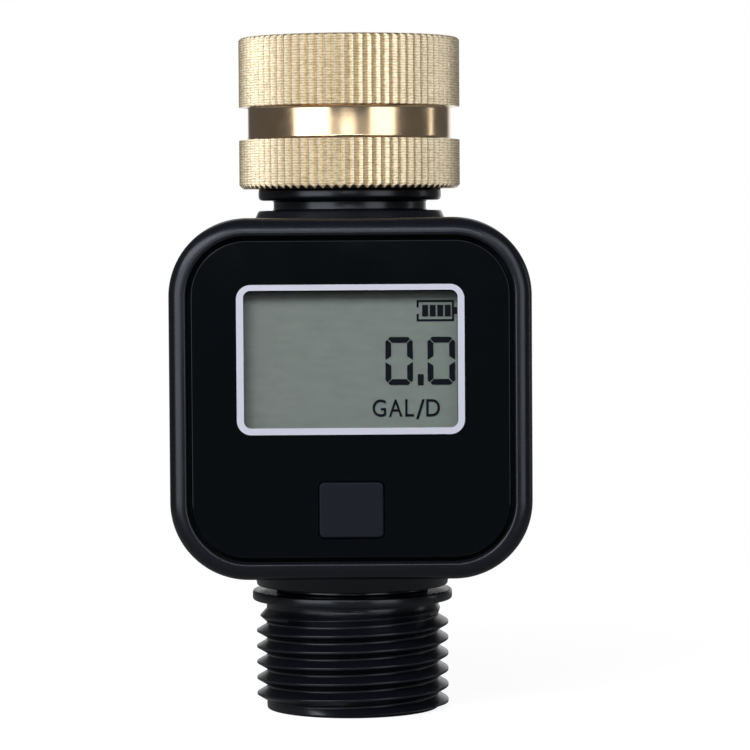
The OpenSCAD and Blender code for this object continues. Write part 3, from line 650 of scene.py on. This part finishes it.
def inlet_shell():
    """Collar, neck and flange above the housing, and the spigot inside the nut."""
    fillet, collar_edge, flange_low_edge, flange_top_edge = 0.3, 0.4, 0.55, 0.7
    collar_z = housing_z1 + inlet_collar_h
    flange_z0 = collar_z + inlet_gap
    flange_z1 = flange_z0 + inlet_flange_t
    profile = rounded_profile(
        [
            (core_r, housing_z1 - spigot_sink),
            (inlet_collar_r, housing_z1 - spigot_sink),
            (inlet_collar_r, housing_z1),
            (inlet_collar_r - collar_taper, collar_z, collar_edge),
            (neck_r, collar_z, fillet),
            (neck_r, flange_z0, fillet),
            (inlet_flange_r, flange_z0, flange_low_edge),
            (inlet_flange_r, flange_z1, flange_top_edge),
            (neck_r, flange_z1),
            (neck_r, body_high.z, fillet),
            (core_r, body_high.z),
        ],
        steps=4,
    )
    return turned(profile, THREAD_STEPS)


def outlet_shell():
    """Collar, flange and threaded spigot below the housing."""
    flange_edge, fillet, end_round = 0.3, 0.2, 0.2
    collar_z = housing_z0 - outlet_collar_h
    flange_z1 = collar_z - outlet_gap
    flange_z0 = flange_z1 - outlet_flange_t
    relief = 0.7
    thread_z0 = 0.3
    thread_z1 = flange_z0 - relief
    left_crest_z = 2.05
    run_out = (12.2, 14.5)
    cut_slope = 3.2
    shares, heights = thread_section(thread_crest_r - thread_root_r)

    def radius_at(share, z):
        fade = min(max((run_out[1] - z) / (run_out[1] - run_out[0]), 0), 1)
        ridge = float(np.interp(share, shares, heights)) * fade
        return thread_root_r + min(ridge, (z - thread_z0) * cut_slope)

    shell = Shell()
    end = rounded_profile([(core_r, 0), (thread_root_r, 0, end_round), (thread_root_r, thread_z0)], steps=4)
    shell.lathe(end, steps=THREAD_STEPS, caps=(True, False))
    crest_at_zero = left_crest_z - thread_pitch / 2
    helix_wall(shell, thread_z0, thread_z1, radius_at, shares[:-1], crest_at_zero, THREAD_STEPS)
    upper = rounded_profile(
        [
            (thread_root_r, thread_z1),
            (thread_root_r, flange_z0, flange_edge),
            (outlet_flange_r, flange_z0, flange_edge),
            (outlet_flange_r, flange_z1, flange_edge),
            (neck_r, flange_z1, fillet),
            (neck_r, collar_z, fillet),
            (outlet_collar_r - collar_taper, collar_z, fillet),
            (outlet_collar_r, housing_z0),
            (outlet_collar_r, housing_z0 + spigot_sink),
            (core_r, housing_z0 + spigot_sink),
        ],
        steps=4,
    )
    shell.lathe(upper, steps=THREAD_STEPS, caps=(False, True))
    return shell


def flow_line():
    """The waterway that is cut through the housing, with the groove of the support's clip."""
    mouth = 0.4
    groove_r = clip_high.x + slip
    shoulder_z = straightener_high.z
    return turned(
        [
            (core_r, -past),
            (chamber_r + mouth + past, -past),
            (chamber_r, mouth),
            (chamber_r, clip_low.z - slip),
            (groove_r, clip_low.z - slip),
            (groove_r, clip_high.z + slip),
            (chamber_r, clip_high.z + slip),
            (chamber_r, shoulder_z),
            (bore_r, shoulder_z),
            (bore_r, body_high.z + past),
            (core_r, body_high.z + past),
        ],
        THREAD_STEPS,
    )


def battery_well():
    """The coin cell's well and the gasket's seat behind the door."""
    well_r = cell_high.x + room
    seat_r = gasket_high.x + slip
    return lathe_y(
        [
            (core_r, well_y),
            (well_r, well_y),
            (well_r, gasket_low.y),
            (seat_r, gasket_low.y),
            (seat_r, door_low.y + past),
            (core_r, door_low.y + past),
        ],
        mid_z,
    )


def contact_slots():
    """Pockets beside the chamber and the slots that bring the contacts into them."""
    pocket_x0 = positive_high.x - contact_t - room
    pocket_x1 = housing_w / 2 - cavity_inset
    pocket_y0, pocket_y1 = cavity_y - past, body_high.y - pocket_back
    pocket_z0, pocket_z1 = mid_z - pocket_h / 2, mid_z + pocket_h / 2
    slot_half_w = (positive_high.z - positive_low.z) / 2 + room
    slot_z0, slot_z1 = mid_z - slot_half_w, mid_z + slot_half_w
    bridge_y = (cell_low.y + cell_high.y) / 2
    bridge_half_t = contact_t / 2 + room
    boxes = [
        ((pocket_x0, pocket_y0, pocket_z0), (pocket_x1, pocket_y1, pocket_z1)),
        ((-pocket_x1, pocket_y0, pocket_z0), (-pocket_x0, pocket_y1, pocket_z1)),
        ((-pocket_x0 - past, well_y, slot_z0), (0, cell_low.y + room, slot_z1)),
        (
            (cell_high.x - room, bridge_y - bridge_half_t, slot_z0),
            (pocket_x0 + past, bridge_y + bridge_half_t, slot_z1),
        ),
    ]
    return [block(low, high) for low, high in boxes]


def drill_screws(housing):
    """Holes for the door's screws, and bosses with holes for the board's."""
    boss_sink = 0.5
    board_screw_x = board_screws_high.x - board_head_r
    board_screw_z = board_screws_high.z - mid_z - board_head_r
    for sx, sz in CORNERS:
        x, z = sx * door_screw_at, mid_z + sz * door_screw_at
        cut(housing, rod_y(x, z, door_shank_r + slip, screws_low.y - slip, door_low.y + past))
        x, z = sx * board_screw_x, mid_z + sz * board_screw_z
        join(housing, rod_y(x, z, boss_r, cavity_y + boss_sink, board_high.y))
        cut(housing, rod_y(x, z, board_shank_r + slip, board_screws_high.y + slip, board_high.y - past))


def make_housing():
    """The moulding: smooth outside, matt in the front compartment and on the panel's ledge."""
    smooth, matt = 0, 1
    matt_rings = 4
    rings = housing_rings()
    shell = Shell()
    shell.loft(rings[:matt_rings], caps=(True, False), material=matt)
    shell.loft(rings[matt_rings - 1:], caps=(False, True), material=smooth)
    housing = shell.to_object("housing_shell")
    join(housing, inlet_shell())
    join(housing, outlet_shell())
    for tool in [flow_line(), battery_well(), *contact_slots()]:
        cut(housing, tool)
    drill_screws(housing)
    materials = [black_plastic, seat_plastic]
    return dress(housing, "housing", materials, ["meter_body"], sharp=40)


# Swivel nut

TEETH = 78
TOOTH_STEPS = 10
NUT_STEPS = TEETH * TOOTH_STEPS
# Steps of the knurl that share one step of the bore
BORE_SHARE = 3
BORE_STEPS = NUT_STEPS // BORE_SHARE
# Indices of the nut's materials
KNURLED, TURNED, BORED = 0, 1, 2

nut_z0, nut_z1 = nut_low.z, nut_high.z
nut_major_r = 13.65
nut_minor_r = 12.4
recess_r = 13.05


def tooth_radii():
    """The knurl's radius at each step: nearly straight flanks, with a fine notch in each valley."""
    depth, notch, notch_start = 0.42, 0.1, 0.95
    straight = 0.7
    share = (np.arange(NUT_STEPS) / TOOTH_STEPS) % 1
    valley = 1 - np.abs(2 * share - 1)
    rounded = (1 - np.cos(math.pi * valley)) / 2
    flank = straight * valley + (1 - straight) * rounded
    return nut_high.x - depth * flank - notch * (valley > notch_start)


def nut_profile(groove_z0, groove_z1, lead, lead_slope):
    """The turned blank's outline, from the foot over a tapered lead and the groove to the top."""
    blank_r = nut_high.x + slip
    groove_r = 14.15
    lead_rows = 7
    edge, top_edge, fillet = 0.16, 0.7, 0.5
    foot_w, top_inset = 0.8, 0.4
    return rounded_profile(
        [
            (recess_r + foot_w, nut_z0),
            *[(blank_r - lead + out, nut_z0 + lead_slope * out) for out in np.linspace(0, lead, lead_rows)],
            (blank_r, groove_z0, edge),
            (groove_r, groove_z0, fillet),
            (groove_r, groove_z1, fillet),
            (blank_r, groove_z1, edge),
            (blank_r, nut_z1, top_edge),
            (nut_major_r + top_inset, nut_z1),
        ],
        steps=8,
    )


def nut_outside(shell):
    """The knurled bands, with bare metal in the groove, on the flats and between the teeth's ends."""
    lower_h, groove_h = 6.8, 4.6
    lead, lead_slope = 0.58, 1.05
    close, level = 0.01, 1e-6
    groove_z0 = nut_z0 + lower_h
    groove_z1 = groove_z0 + groove_h
    tooth_r = tooth_radii()
    angles = np.arange(NUT_STEPS) * 2 * math.pi / NUT_STEPS
    profile = nut_profile(groove_z0, groove_z1, lead, lead_slope)
    rings = []
    for p in profile:
        radii = np.minimum(p.x, tooth_r)
        points = [radii * np.cos(angles), radii * np.sin(angles), np.full(NUT_STEPS, p.y)]
        rings.append(shell.add_ring(np.stack(points, axis=1)))
    for a, b, p, q in zip(rings, rings[1:], profile, profile[1:]):
        z_low, z_high = min(p.y, q.y), max(p.y, q.y)
        in_groove = groove_z0 - close <= z_low and z_high <= groove_z1 + close
        in_lead = z_high <= nut_z0 + lead_slope * lead + close
        flat = z_high - z_low < level
        for i in range(NUT_STEPS):
            j = (i + 1) % NUT_STEPS
            bare = in_lead and max(p.x, q.x) <= min(tooth_r[i], tooth_r[j])
            shell.add_face([a[i], a[j], b[j], b[i]], TURNED if in_groove or flat or bare else KNURLED)
    return rings[0], rings[-1]


def nut_bore(shell):
    """The bore: recess, lip over the retaining ring, chamber, thread and tapered mouth."""
    recess_h, recess_edge = 0.6, 0.1
    lip_r, lip_t = 10.95, 2.2
    wall_r = 12.8
    thread_len, run_in, crest_rise = 9.7, 0.7, 1
    mouth, mouth_edge, mouth_flare = 0.8, 0.06, 0.08
    thread_z0, thread_z1 = nut_z1 - thread_len, nut_z1 - mouth_edge
    height = nut_major_r - nut_minor_r
    shares, heights = thread_section(height)

    def radius_at(share, z):
        thread = nut_major_r - float(np.interp(share, shares, heights))
        cone = nut_minor_r + height * (z - (nut_z1 - mouth)) / (mouth - mouth_edge)
        start = min(max((z - thread_z0) / run_in, 0), 1)
        return min(max(wall_r + (thread - wall_r) * start, cone), nut_major_r)

    lip_z = nut_z0 + recess_h
    lower = [
        (recess_r + recess_edge, nut_z0),
        (recess_r, nut_z0 + recess_edge),
        (recess_r, lip_z),
        (lip_r, lip_z),
        (lip_r, lip_z + lip_t),
        (wall_r, lip_z + lip_t),
        (wall_r, thread_z0),
    ]
    rings = shell.lathe(lower, steps=BORE_STEPS, caps=(False, False), material=BORED)
    helix_wall(shell, thread_z0, thread_z1, radius_at, shares[:-1], thread_z0 + crest_rise, BORE_STEPS, BORED)
    mouth_ring = shell.add_ring(circle(nut_major_r, thread_z1, BORE_STEPS))
    top_ring = shell.add_ring(circle(nut_major_r + mouth_flare, nut_z1, BORE_STEPS))
    shell.join_rings(mouth_ring, top_ring, BORED)
    return rings[0], top_ring


def make_nut():
    """The knurled nut: its outside and its bore, joined by flat rings at the top and the foot."""
    shell = Shell()
    foot, top = nut_outside(shell)
    bore_foot, bore_top = nut_bore(shell)
    for outer, inner in [(top, bore_top), (foot, bore_foot)]:
        for i in range(BORE_STEPS):
            j = (i + 1) % BORE_STEPS
            arc = [outer[(i * BORE_SHARE + k) % NUT_STEPS] for k in range(BORE_SHARE + 1)]
            shell.add_face([inner[i], *arc, inner[j]], TURNED)
    nut = shell.to_object("swivel_nut_knurled")
    return dress(nut, "nut", [knurl_brass, turned_brass, inner_brass], ["swivel_nut"], sharp=38)


def make_washer():
    """The hose washer, with moulded round edges."""
    edge = 0.4
    middle_z = (washer_low.z + washer_high.z) / 2
    profile = rounded_profile(
        [
            (bore_r, middle_z),
            (bore_r, washer_high.z, edge),
            (washer_high.x, washer_high.z, edge),
            (washer_high.x, washer_low.z, edge),
            (bore_r, washer_low.z, edge),
            (bore_r, middle_z),
        ],
        steps=5,
    )
    washer = turned(profile, caps=(False, False)).to_object("hose_washer_rubber")
    return dress(washer, "housing", [washer_rubber], ["hose_washer"])


# Panel, key and display

border_line = 0.95
line_top, line_low, line_left, line_right = 0.78, 0.9, 0.95, 0.9
border_lift = 0.18
border_r = 1.95
window_z = (border_low.z + border_high.z) / 2
border_w = border_high.x - border_low.x
border_h = border_high.z - border_low.z
key_z = (key_low.z + key_high.z) / 2
key_w = 8.7
key_h = key_high.z - key_low.z
key_r = 0.7
key_gap = 0.15
key_wing_t = 0.7


def plate(w, h, r, profile, z):
    """A rounded plate from (inset, depth) points."""
    least_r = 0.05
    shell = Shell()
    shell.loft([rounded_ring(w - 2 * u, h - 2 * u, max(r - u, least_r), v, z) for u, v in profile])
    return shell


def make_panel():
    """The gloss panel, with a fine bevel, the window, the border's seat and the key's opening."""
    bevel = 0.12
    w, h = panel_high.x - panel_low.x, panel_high.z - panel_low.z
    edge = [(0, panel_high.y), (0, panel_low.y, bevel), (bevel + edge_flat, panel_low.y)]
    profile = rounded_profile(edge, steps=4)
    panel = plate(w, h, panel_r, profile, mid_z).to_object("front_panel_gloss")
    through = [(0, panel_high.y + past), (0, panel_low.y - past)]
    seat = [(0, border_high.y), (0, panel_low.y - past)]
    window_w, window_h = border_w - 2 * border_line, border_h - 2 * border_line
    cut(panel, plate(window_w, window_h, border_r - border_line, through, window_z))
    cut(panel, plate(border_w, border_h - border_lift, border_r, seat, window_z + border_lift / 2))
    cut(panel, plate(key_w + 2 * key_gap, key_h + 2 * key_gap, key_r + key_gap, through, key_z))
    return dress(panel, "housing", [panel_gloss], ["front_panel"])


def make_border():
    """The printed line around the window, thinnest along its top."""
    w, h = border_w, border_h - border_lift
    z = window_z + border_lift / 2
    inner_w, inner_h = w - line_left - line_right, h - line_top - line_low
    inner_x, inner_z = (line_left - line_right) / 2, z + (line_low - line_top) / 2
    inner_r = border_r - border_line
    front, back = border_low.y, border_high.y
    rings = [rounded_ring(w, h, border_r, y, z) for y in (back, front)]
    rings += [rounded_ring(inner_w, inner_h, inner_r, y, inner_z, inner_x) for y in (front, back)]
    shell = Shell()
    shell.loft([*rings, rings[0]], caps=(False, False))
    border = shell.to_object("window_border")
    return dress(border, "housing", [border_ink], ["window_frame"])


def make_key():
    """The key's cap with a soft edge, its side wings and the stem over the switch."""
    edge = 0.3
    stem_r, stem_sink = 1.7, 0.3
    wing_step = 0.01
    wing_y0 = panel_high.y + slip
    wing_y1 = wing_y0 + key_wing_t
    wing_half_h = key_h / 2 - key_r
    rim = [(0, wing_y1), (0, key_low.y, edge), (edge + edge_flat, key_low.y)]
    key = plate(key_w, key_h, key_r, rounded_profile(rim, steps=6), key_z).to_object("mode_button_cap")
    wing_low = (key_low.x, wing_y0, key_z - wing_half_h)
    wing_high = (key_high.x, wing_y1 - wing_step, key_z + wing_half_h)
    join(key, block(wing_low, wing_high))
    join(key, rod_y(0, key_z, stem_r, key_high.y, wing_y1 - stem_sink))
    return dress(key, "key", [key_plastic], ["mode_button"])


def nought(shell, centre_x, centre_z, w, h, y0, y1):
    """A nought of six bars with clipped outer corners and fine gaps between the bars."""
    bar = 0.78
    clip = 0.62
    half_gap = 0.045
    waist = 0.14
    waist_slope = 0.5
    half_w, half_h = w / 2, h / 2
    side = [
        (0, waist),
        (0, half_h - clip),
        (clip / 2 - half_gap, half_h - clip / 2 - half_gap),
        (bar, half_h - bar - 2 * half_gap),
        (bar, waist + waist_slope),
    ]
    end = [
        (clip / 2 + half_gap, half_h - clip / 2 + half_gap),
        (clip, half_h),
        (w - clip, half_h),
        (w - clip / 2 - half_gap, half_h - clip / 2 + half_gap),
        (w - bar - 2 * half_gap, half_h - bar),
        (bar + 2 * half_gap, half_h - bar),
    ]
    for sz in (-1, 1):
        shell.prism([(centre_x - half_w + x, centre_z + sz * z) for x, z in end], y0, y1)
        for sx in (-1, 1):
            shell.prism([(centre_x + sx * (half_w - x), centre_z + sz * z) for x, z in side], y0, y1)


def battery_sign(shell, right, top, y0, y1):
    """A battery outline that is open at its left end, with a nub at its right end and four bars."""
    w, h, line = 5.05, 2.87, 0.28
    opening = 0.9
    nub_w, nub_h = 0.36, 0.95
    bars, bar_w, bar_gap, bar_h = 4, 0.8, 0.215, 1.55
    bar_right = 0.45
    left, low = right - w, top - h
    mid = (top + low) / 2
    outline = [
        (right, low),
        (right, mid - nub_h / 2),
        (right + nub_w, mid - nub_h / 2),
        (right + nub_w, mid + nub_h / 2),
        (right, mid + nub_h / 2),
        (right, top),
        (left, top),
        (left, mid + opening / 2),
        (left + line, mid + opening / 2),
        (left + line, top - line),
        (right - line, top - line),
        (right - line, low + line),
        (left + line, low + line),
        (left + line, mid - opening / 2),
        (left, mid - opening / 2),
        (left, low),
    ]
    shell.prism(outline, y0, y1)
    for i in range(bars):
        x1 = right - bar_right - i * (bar_w + bar_gap)
        x0 = x1 - bar_w
        z0, z1 = mid - bar_h / 2, mid + bar_h / 2
        shell.prism([(x0, z0), (x1, z0), (x1, z1), (x0, z1)], y0, y1)


def letter_faces(character):
    """A mesh of one capital from the built-in font."""
    curve = bpy.data.curves.new("letter", "FONT")
    curve.body = character
    curve.resolution_u = 6
    curve.fill_mode = "FRONT"
    curve.offset = 0.006
    letter = new_object("letter", curve)
    mesh = evaluated_mesh(letter)
    bpy.data.objects.remove(letter)
    return mesh


def unit_legend(letters, low, high, slash_drop, y0, y1):
    """The unit under the digits: letters holds each character with its left and right ends."""
    reach = 1e-4 * MM
    build = bmesh.new()
    for character, left, right in letters:
        count = len(build.verts)
        build.from_mesh(letter_faces(character))
        build.verts.ensure_lookup_table()
        verts = build.verts[count:]
        xs, zs = [v.co.x for v in verts], [v.co.y for v in verts]
        bottom = low - slash_drop if character == "/" else low
        scale_x = (right - left) / (max(xs) - min(xs))
        scale_z = (high - bottom) / (max(zs) - min(zs))
        origin_x, origin_z = min(xs), min(zs)
        for vertex in verts:
            x = left + (vertex.co.x - origin_x) * scale_x
            z = bottom + (vertex.co.y - origin_z) * scale_z
            vertex.co = Vector((x, y1, z)) * MM
    bmesh.ops.remove_doubles(build, verts=build.verts, dist=reach)
    walls = bmesh.ops.extrude_face_region(build, geom=build.faces[:])
    for vertex in walls["geom"]:
        if isinstance(vertex, bmesh.types.BMVert):
            vertex.co.y = y0 * MM
    bmesh.ops.recalc_face_normals(build, faces=build.faces)
    mesh = bpy.data.meshes.new("unit_legend")
    build.to_mesh(mesh)
    build.free()
    return new_object("unit_legend", mesh)


def make_display():
    """The dark marks on the display: two noughts with a point, and the battery sign."""
    y0, y1 = mark_low.y, mark_high.y
    digit_w, digit_h, digit_pitch = 3.7, 6.48, 5.69
    last_x = 12.25
    digit_z = window_z - 0.21
    point_x, point_w, point_h, point_drop = 9.46, 0.8, 1.5, 0.06
    battery_right, battery_top = 14.0, window_z + 8.0
    shell = Shell()
    for i in range(2):
        nought(shell, last_x - i * digit_pitch, digit_z, digit_w, digit_h, y0, y1)
    low = digit_z - digit_h / 2 - point_drop
    x0, x1 = point_x - point_w / 2, point_x + point_w / 2
    shell.prism([(x0, low), (x1, low), (x1, low + point_h), (x0, low + point_h)], y0, y1)
    battery_sign(shell, battery_right, battery_top, y0, y1)
    marks = shell.to_object("display_marks")
    dress(marks, "housing", [mark_ink], ["lcd_marks"])


def make_legend():
    """The unit below the digits."""
    letters = [
        ("G", 2.92, 4.76),
        ("A", 5.13, 6.98),
        ("L", 7.34, 8.52),
        ("/", 8.79, 10.0),
        ("D", 10.18, 12.04),
    ]
    low, high = window_z - 7.74, window_z - 5.4
    slash_drop = 0.36
    legend = unit_legend(letters, low, high, slash_drop, mark_low.y, mark_high.y)
    dress(legend, "housing", [mark_ink])


# Battery door and its screws

def make_door():
    """The rear door with a soft edge and counterbores for its screws."""
    edge = 0.3
    size = door_high.x - door_low.x
    rim = [(0, door_low.y), (0, door_high.y, edge), (edge + edge_flat, door_high.y)]
    door = plate(size, size, door_r, rounded_profile(rim, steps=6), mid_z).to_object("battery_door_cover")
    outside_y = door_high.y + past
    for sx, sz in CORNERS:
        x, z = sx * door_screw_at, mid_z + sz * door_screw_at
        cut(door, rod_y(x, z, door_head_r + room, door_high.y - door_head_h, outside_y, SCREW_STEPS))
        cut(door, rod_y(x, z, door_shank_r + slip, door_low.y - past, outside_y))
    return dress(door, "housing", [door_plastic], ["battery_door"])


def make_door_screws():
    """Four domed cross-head screws."""
    tip_r, tip_h, dome = 0.1, 0.8, 0.75
    cross_w, cross_l, cross_depth = 0.42, 2.1, 0.55
    seat_y = door_high.y - door_head_h
    profile = rounded_profile(
        [
            (tip_r, screws_low.y),
            (door_shank_r, screws_low.y + tip_h),
            (door_shank_r, seat_y),
            (door_head_r, seat_y),
            (door_head_r, screws_high.y, dome),
            (tip_r, screws_high.y),
        ],
        steps=6,
    )
    screw = lathe_y(profile, 0, SCREW_STEPS).to_object("door_screw_heads")
    for half_x, half_z in [(cross_l / 2, cross_w / 2), (cross_w / 2, cross_l / 2)]:
        low, high = (-half_x, screws_high.y - cross_depth, -half_z), (half_x, screws_high.y + past, half_z)
        cut(screw, block(low, high))
    build = bmesh.new()
    for sx, sz in CORNERS:
        count = len(build.verts)
        build.from_mesh(screw.data)
        build.verts.ensure_lookup_table()
        place = Vector((sx * door_screw_at, 0, mid_z + sz * door_screw_at)) * MM
        bmesh.ops.translate(build, verts=build.verts[count:], vec=place)
    build.to_mesh(screw.data)
    build.free()
    return dress(screw, "housing", [steel], ["door_screws"])


make_housing()
make_nut()
make_washer()
make_panel()
make_border()
make_key()
make_display()
make_legend()
make_door()
make_door_screws()

# Finishes of the pieces that keep their CAD form
NODE_FINISHES = [
    (steel, ["nut_retaining_ring", "rotor_axle", "support_clip", "board_screws"]),
    (white_plastic, ["flow_straightener", "rotor_support"]),
    (rotor_plastic, ["turbine_rotor"]),
    (magnet_ferrite, ["rotor_magnet"]),
    (bush_bronze, ["inlet_bearing", "outlet_bearing"]),
    (glue_film, ["panel_adhesive"]),
    (pane_clear, ["display_window"]),
    (lcd_glass, ["lcd_module"]),
    (connector_rubber, ["zebra_strips"]),
    (board_mask, ["circuit_board"]),
    (chip_epoxy, ["controller_chip", "hall_sensor", "tact_switch"]),
    (contact_bronze, ["switch_plunger", "negative_contact", "positive_contact"]),
    (cell_steel, ["coin_cell"]),
    (gasket_rubber, ["door_gasket"]),
]
for material, names in NODE_FINISHES:
    for name in names:
        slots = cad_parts[name].data.materials
        slots.clear()
        slots.append(material)


# Stage, light and camera

def make_floor():
    """A pale floor that shows as white and keeps the object's shadow."""
    radius = 200
    drop = 0.02
    seen, mirrored = 0.92, 0.08
    shell = Shell()
    shell.add_face(shell.add_ring(circle(radius, -drop, TURN_STEPS)))
    floor = shell.to_object("floor")
    material, tree, shader = new_material("floor_white")
    tree.nodes.remove(shader)
    diffuse = node(tree, "ShaderNodeBsdfDiffuse", Color=(0.22, 0.22, 0.22, 1))
    glow = node(tree, "ShaderNodeEmission", Color=(1, 1, 1, 1))
    tree.links.new(shown_rays(tree, seen, mirrored), glow.inputs["Strength"])
    both = tree.nodes.new("ShaderNodeAddShader")
    tree.links.new(diffuse.outputs["BSDF"], both.inputs[0])
    tree.links.new(glow.outputs["Emission"], both.inputs[1])
    tree.links.new(both.outputs["Shader"], tree.nodes["Material Output"].inputs["Surface"])
    floor.data.materials.append(material)


def shown_rays(tree, seen, mirrored):
    """One strength for camera rays, another for glossy and transmission rays, and 0 for the rest."""
    path = tree.nodes.new("ShaderNodeLightPath")
    glossy = mix_value(tree, path.outputs["Is Glossy Ray"], 0.0, mirrored)
    through = mix_value(tree, path.outputs["Is Transmission Ray"], glossy, mirrored)
    return mix_value(tree, path.outputs["Is Camera Ray"], through, seen)


def make_world():
    """White behind the object, dim in front of it for reflections, and an even soft fill."""
    fill, dim, white = 0.06, 0.1, 1.0
    rear = (0.1, 0.995, 0)
    world = bpy.data.worlds.new("studio")
    bpy.context.scene.world = world
    world.use_nodes = True
    tree = world.node_tree
    background = tree.nodes["Background"]
    place = tree.nodes.new("ShaderNodeTexCoord")
    towards = tree.nodes.new("ShaderNodeVectorMath")
    towards.operation = "DOT_PRODUCT"
    towards.inputs[1].default_value = rear
    tree.links.new(place.outputs["Generated"], towards.inputs[0])
    behind = ramp(tree, towards.outputs["Value"], 0, 1, 0.9, 0.98)
    path = tree.nodes.new("ShaderNodeLightPath")
    mirrored = mix_value(tree, behind, dim, white)
    glossy = mix_value(tree, path.outputs["Is Glossy Ray"], fill, mirrored)
    through = mix_value(tree, path.outputs["Is Transmission Ray"], glossy, white)
    shown = mix_value(tree, path.outputs["Is Camera Ray"], through, white)
    tree.links.new(shown, background.inputs["Strength"])
    background.inputs["Color"].default_value = (1, 1, 1, 1)


def make_lamp(name, azimuth, elevation, width, height, radiance, diffuse=True, glossy=True):
    """A soft box aimed at the housing's middle; azimuth 0 is in front and + is to the right."""
    distance = 0.6
    lamp = bpy.data.lights.new(name, "AREA")
    lamp.shape = "RECTANGLE"
    lamp.size = width
    lamp.size_y = height
    lamp.energy = radiance * math.pi * width * height
    piece = new_object(name, lamp)
    aim = Vector((0, 0, mid_z * MM))
    a, e = math.radians(azimuth), math.radians(elevation)
    direction = Vector((math.sin(a) * math.cos(e), -math.cos(a) * math.cos(e), math.sin(e)))
    piece.location = aim + direction * distance
    piece.rotation_euler = direction.to_track_quat("Z", "Y").to_euler()
    piece.visible_camera = False
    piece.visible_diffuse = diffuse
    piece.visible_glossy = glossy


def make_camera():
    """The photograph's view: a long lens from a little above, rolled by a third of a degree."""
    eye = Vector((0.001, -0.476, 0.0682))
    aim = Vector((0.00337, 0, 0.04663))
    roll = math.radians(-0.37)
    camera = bpy.data.cameras.new("camera")
    camera.sensor_width = 36
    camera.lens = 163.2
    piece = new_object("camera", camera)
    piece.location = eye
    turn = (aim - eye).to_track_quat("-Z", "Y") @ Quaternion((0, 0, 1), roll)
    piece.rotation_euler = turn.to_euler()
    bpy.context.scene.camera = piece


make_floor()
make_world()
make_lamp("left_low", -43, 3, 0.46, 0.24, 2.7, diffuse=False)
make_lamp("left_high", -41, 28, 0.5, 0.24, 3.9)
make_lamp("right_low", 38, 3, 0.31, 0.24, 2.1, diffuse=False)
make_lamp("right_high", 38, 28, 0.31, 0.24, 2.1)
make_lamp("front_low", -15.5, 7.8, 0.135, 0.1, 0.6, diffuse=False)
make_lamp("front_strip", -1.3, 7.8, 0.158, 0.1, 2.3, diffuse=False)
make_lamp("front_dim", 14.5, 7.8, 0.17, 0.1, 0.3, diffuse=False)
make_lamp("front_bar", -3, 22, 0.4, 0.05, 7.4, diffuse=False)
make_lamp("side_strip", 105, 8, 0.06, 0.3, 1.6, diffuse=False)
make_lamp("top", -12, 37, 0.5, 0.2, 5.9, glossy=False)
make_lamp("rear", 180, 40, 0.5, 0.3, 0.8)
make_camera()
bpy.context.scene.view_settings.view_transform = "Standard"
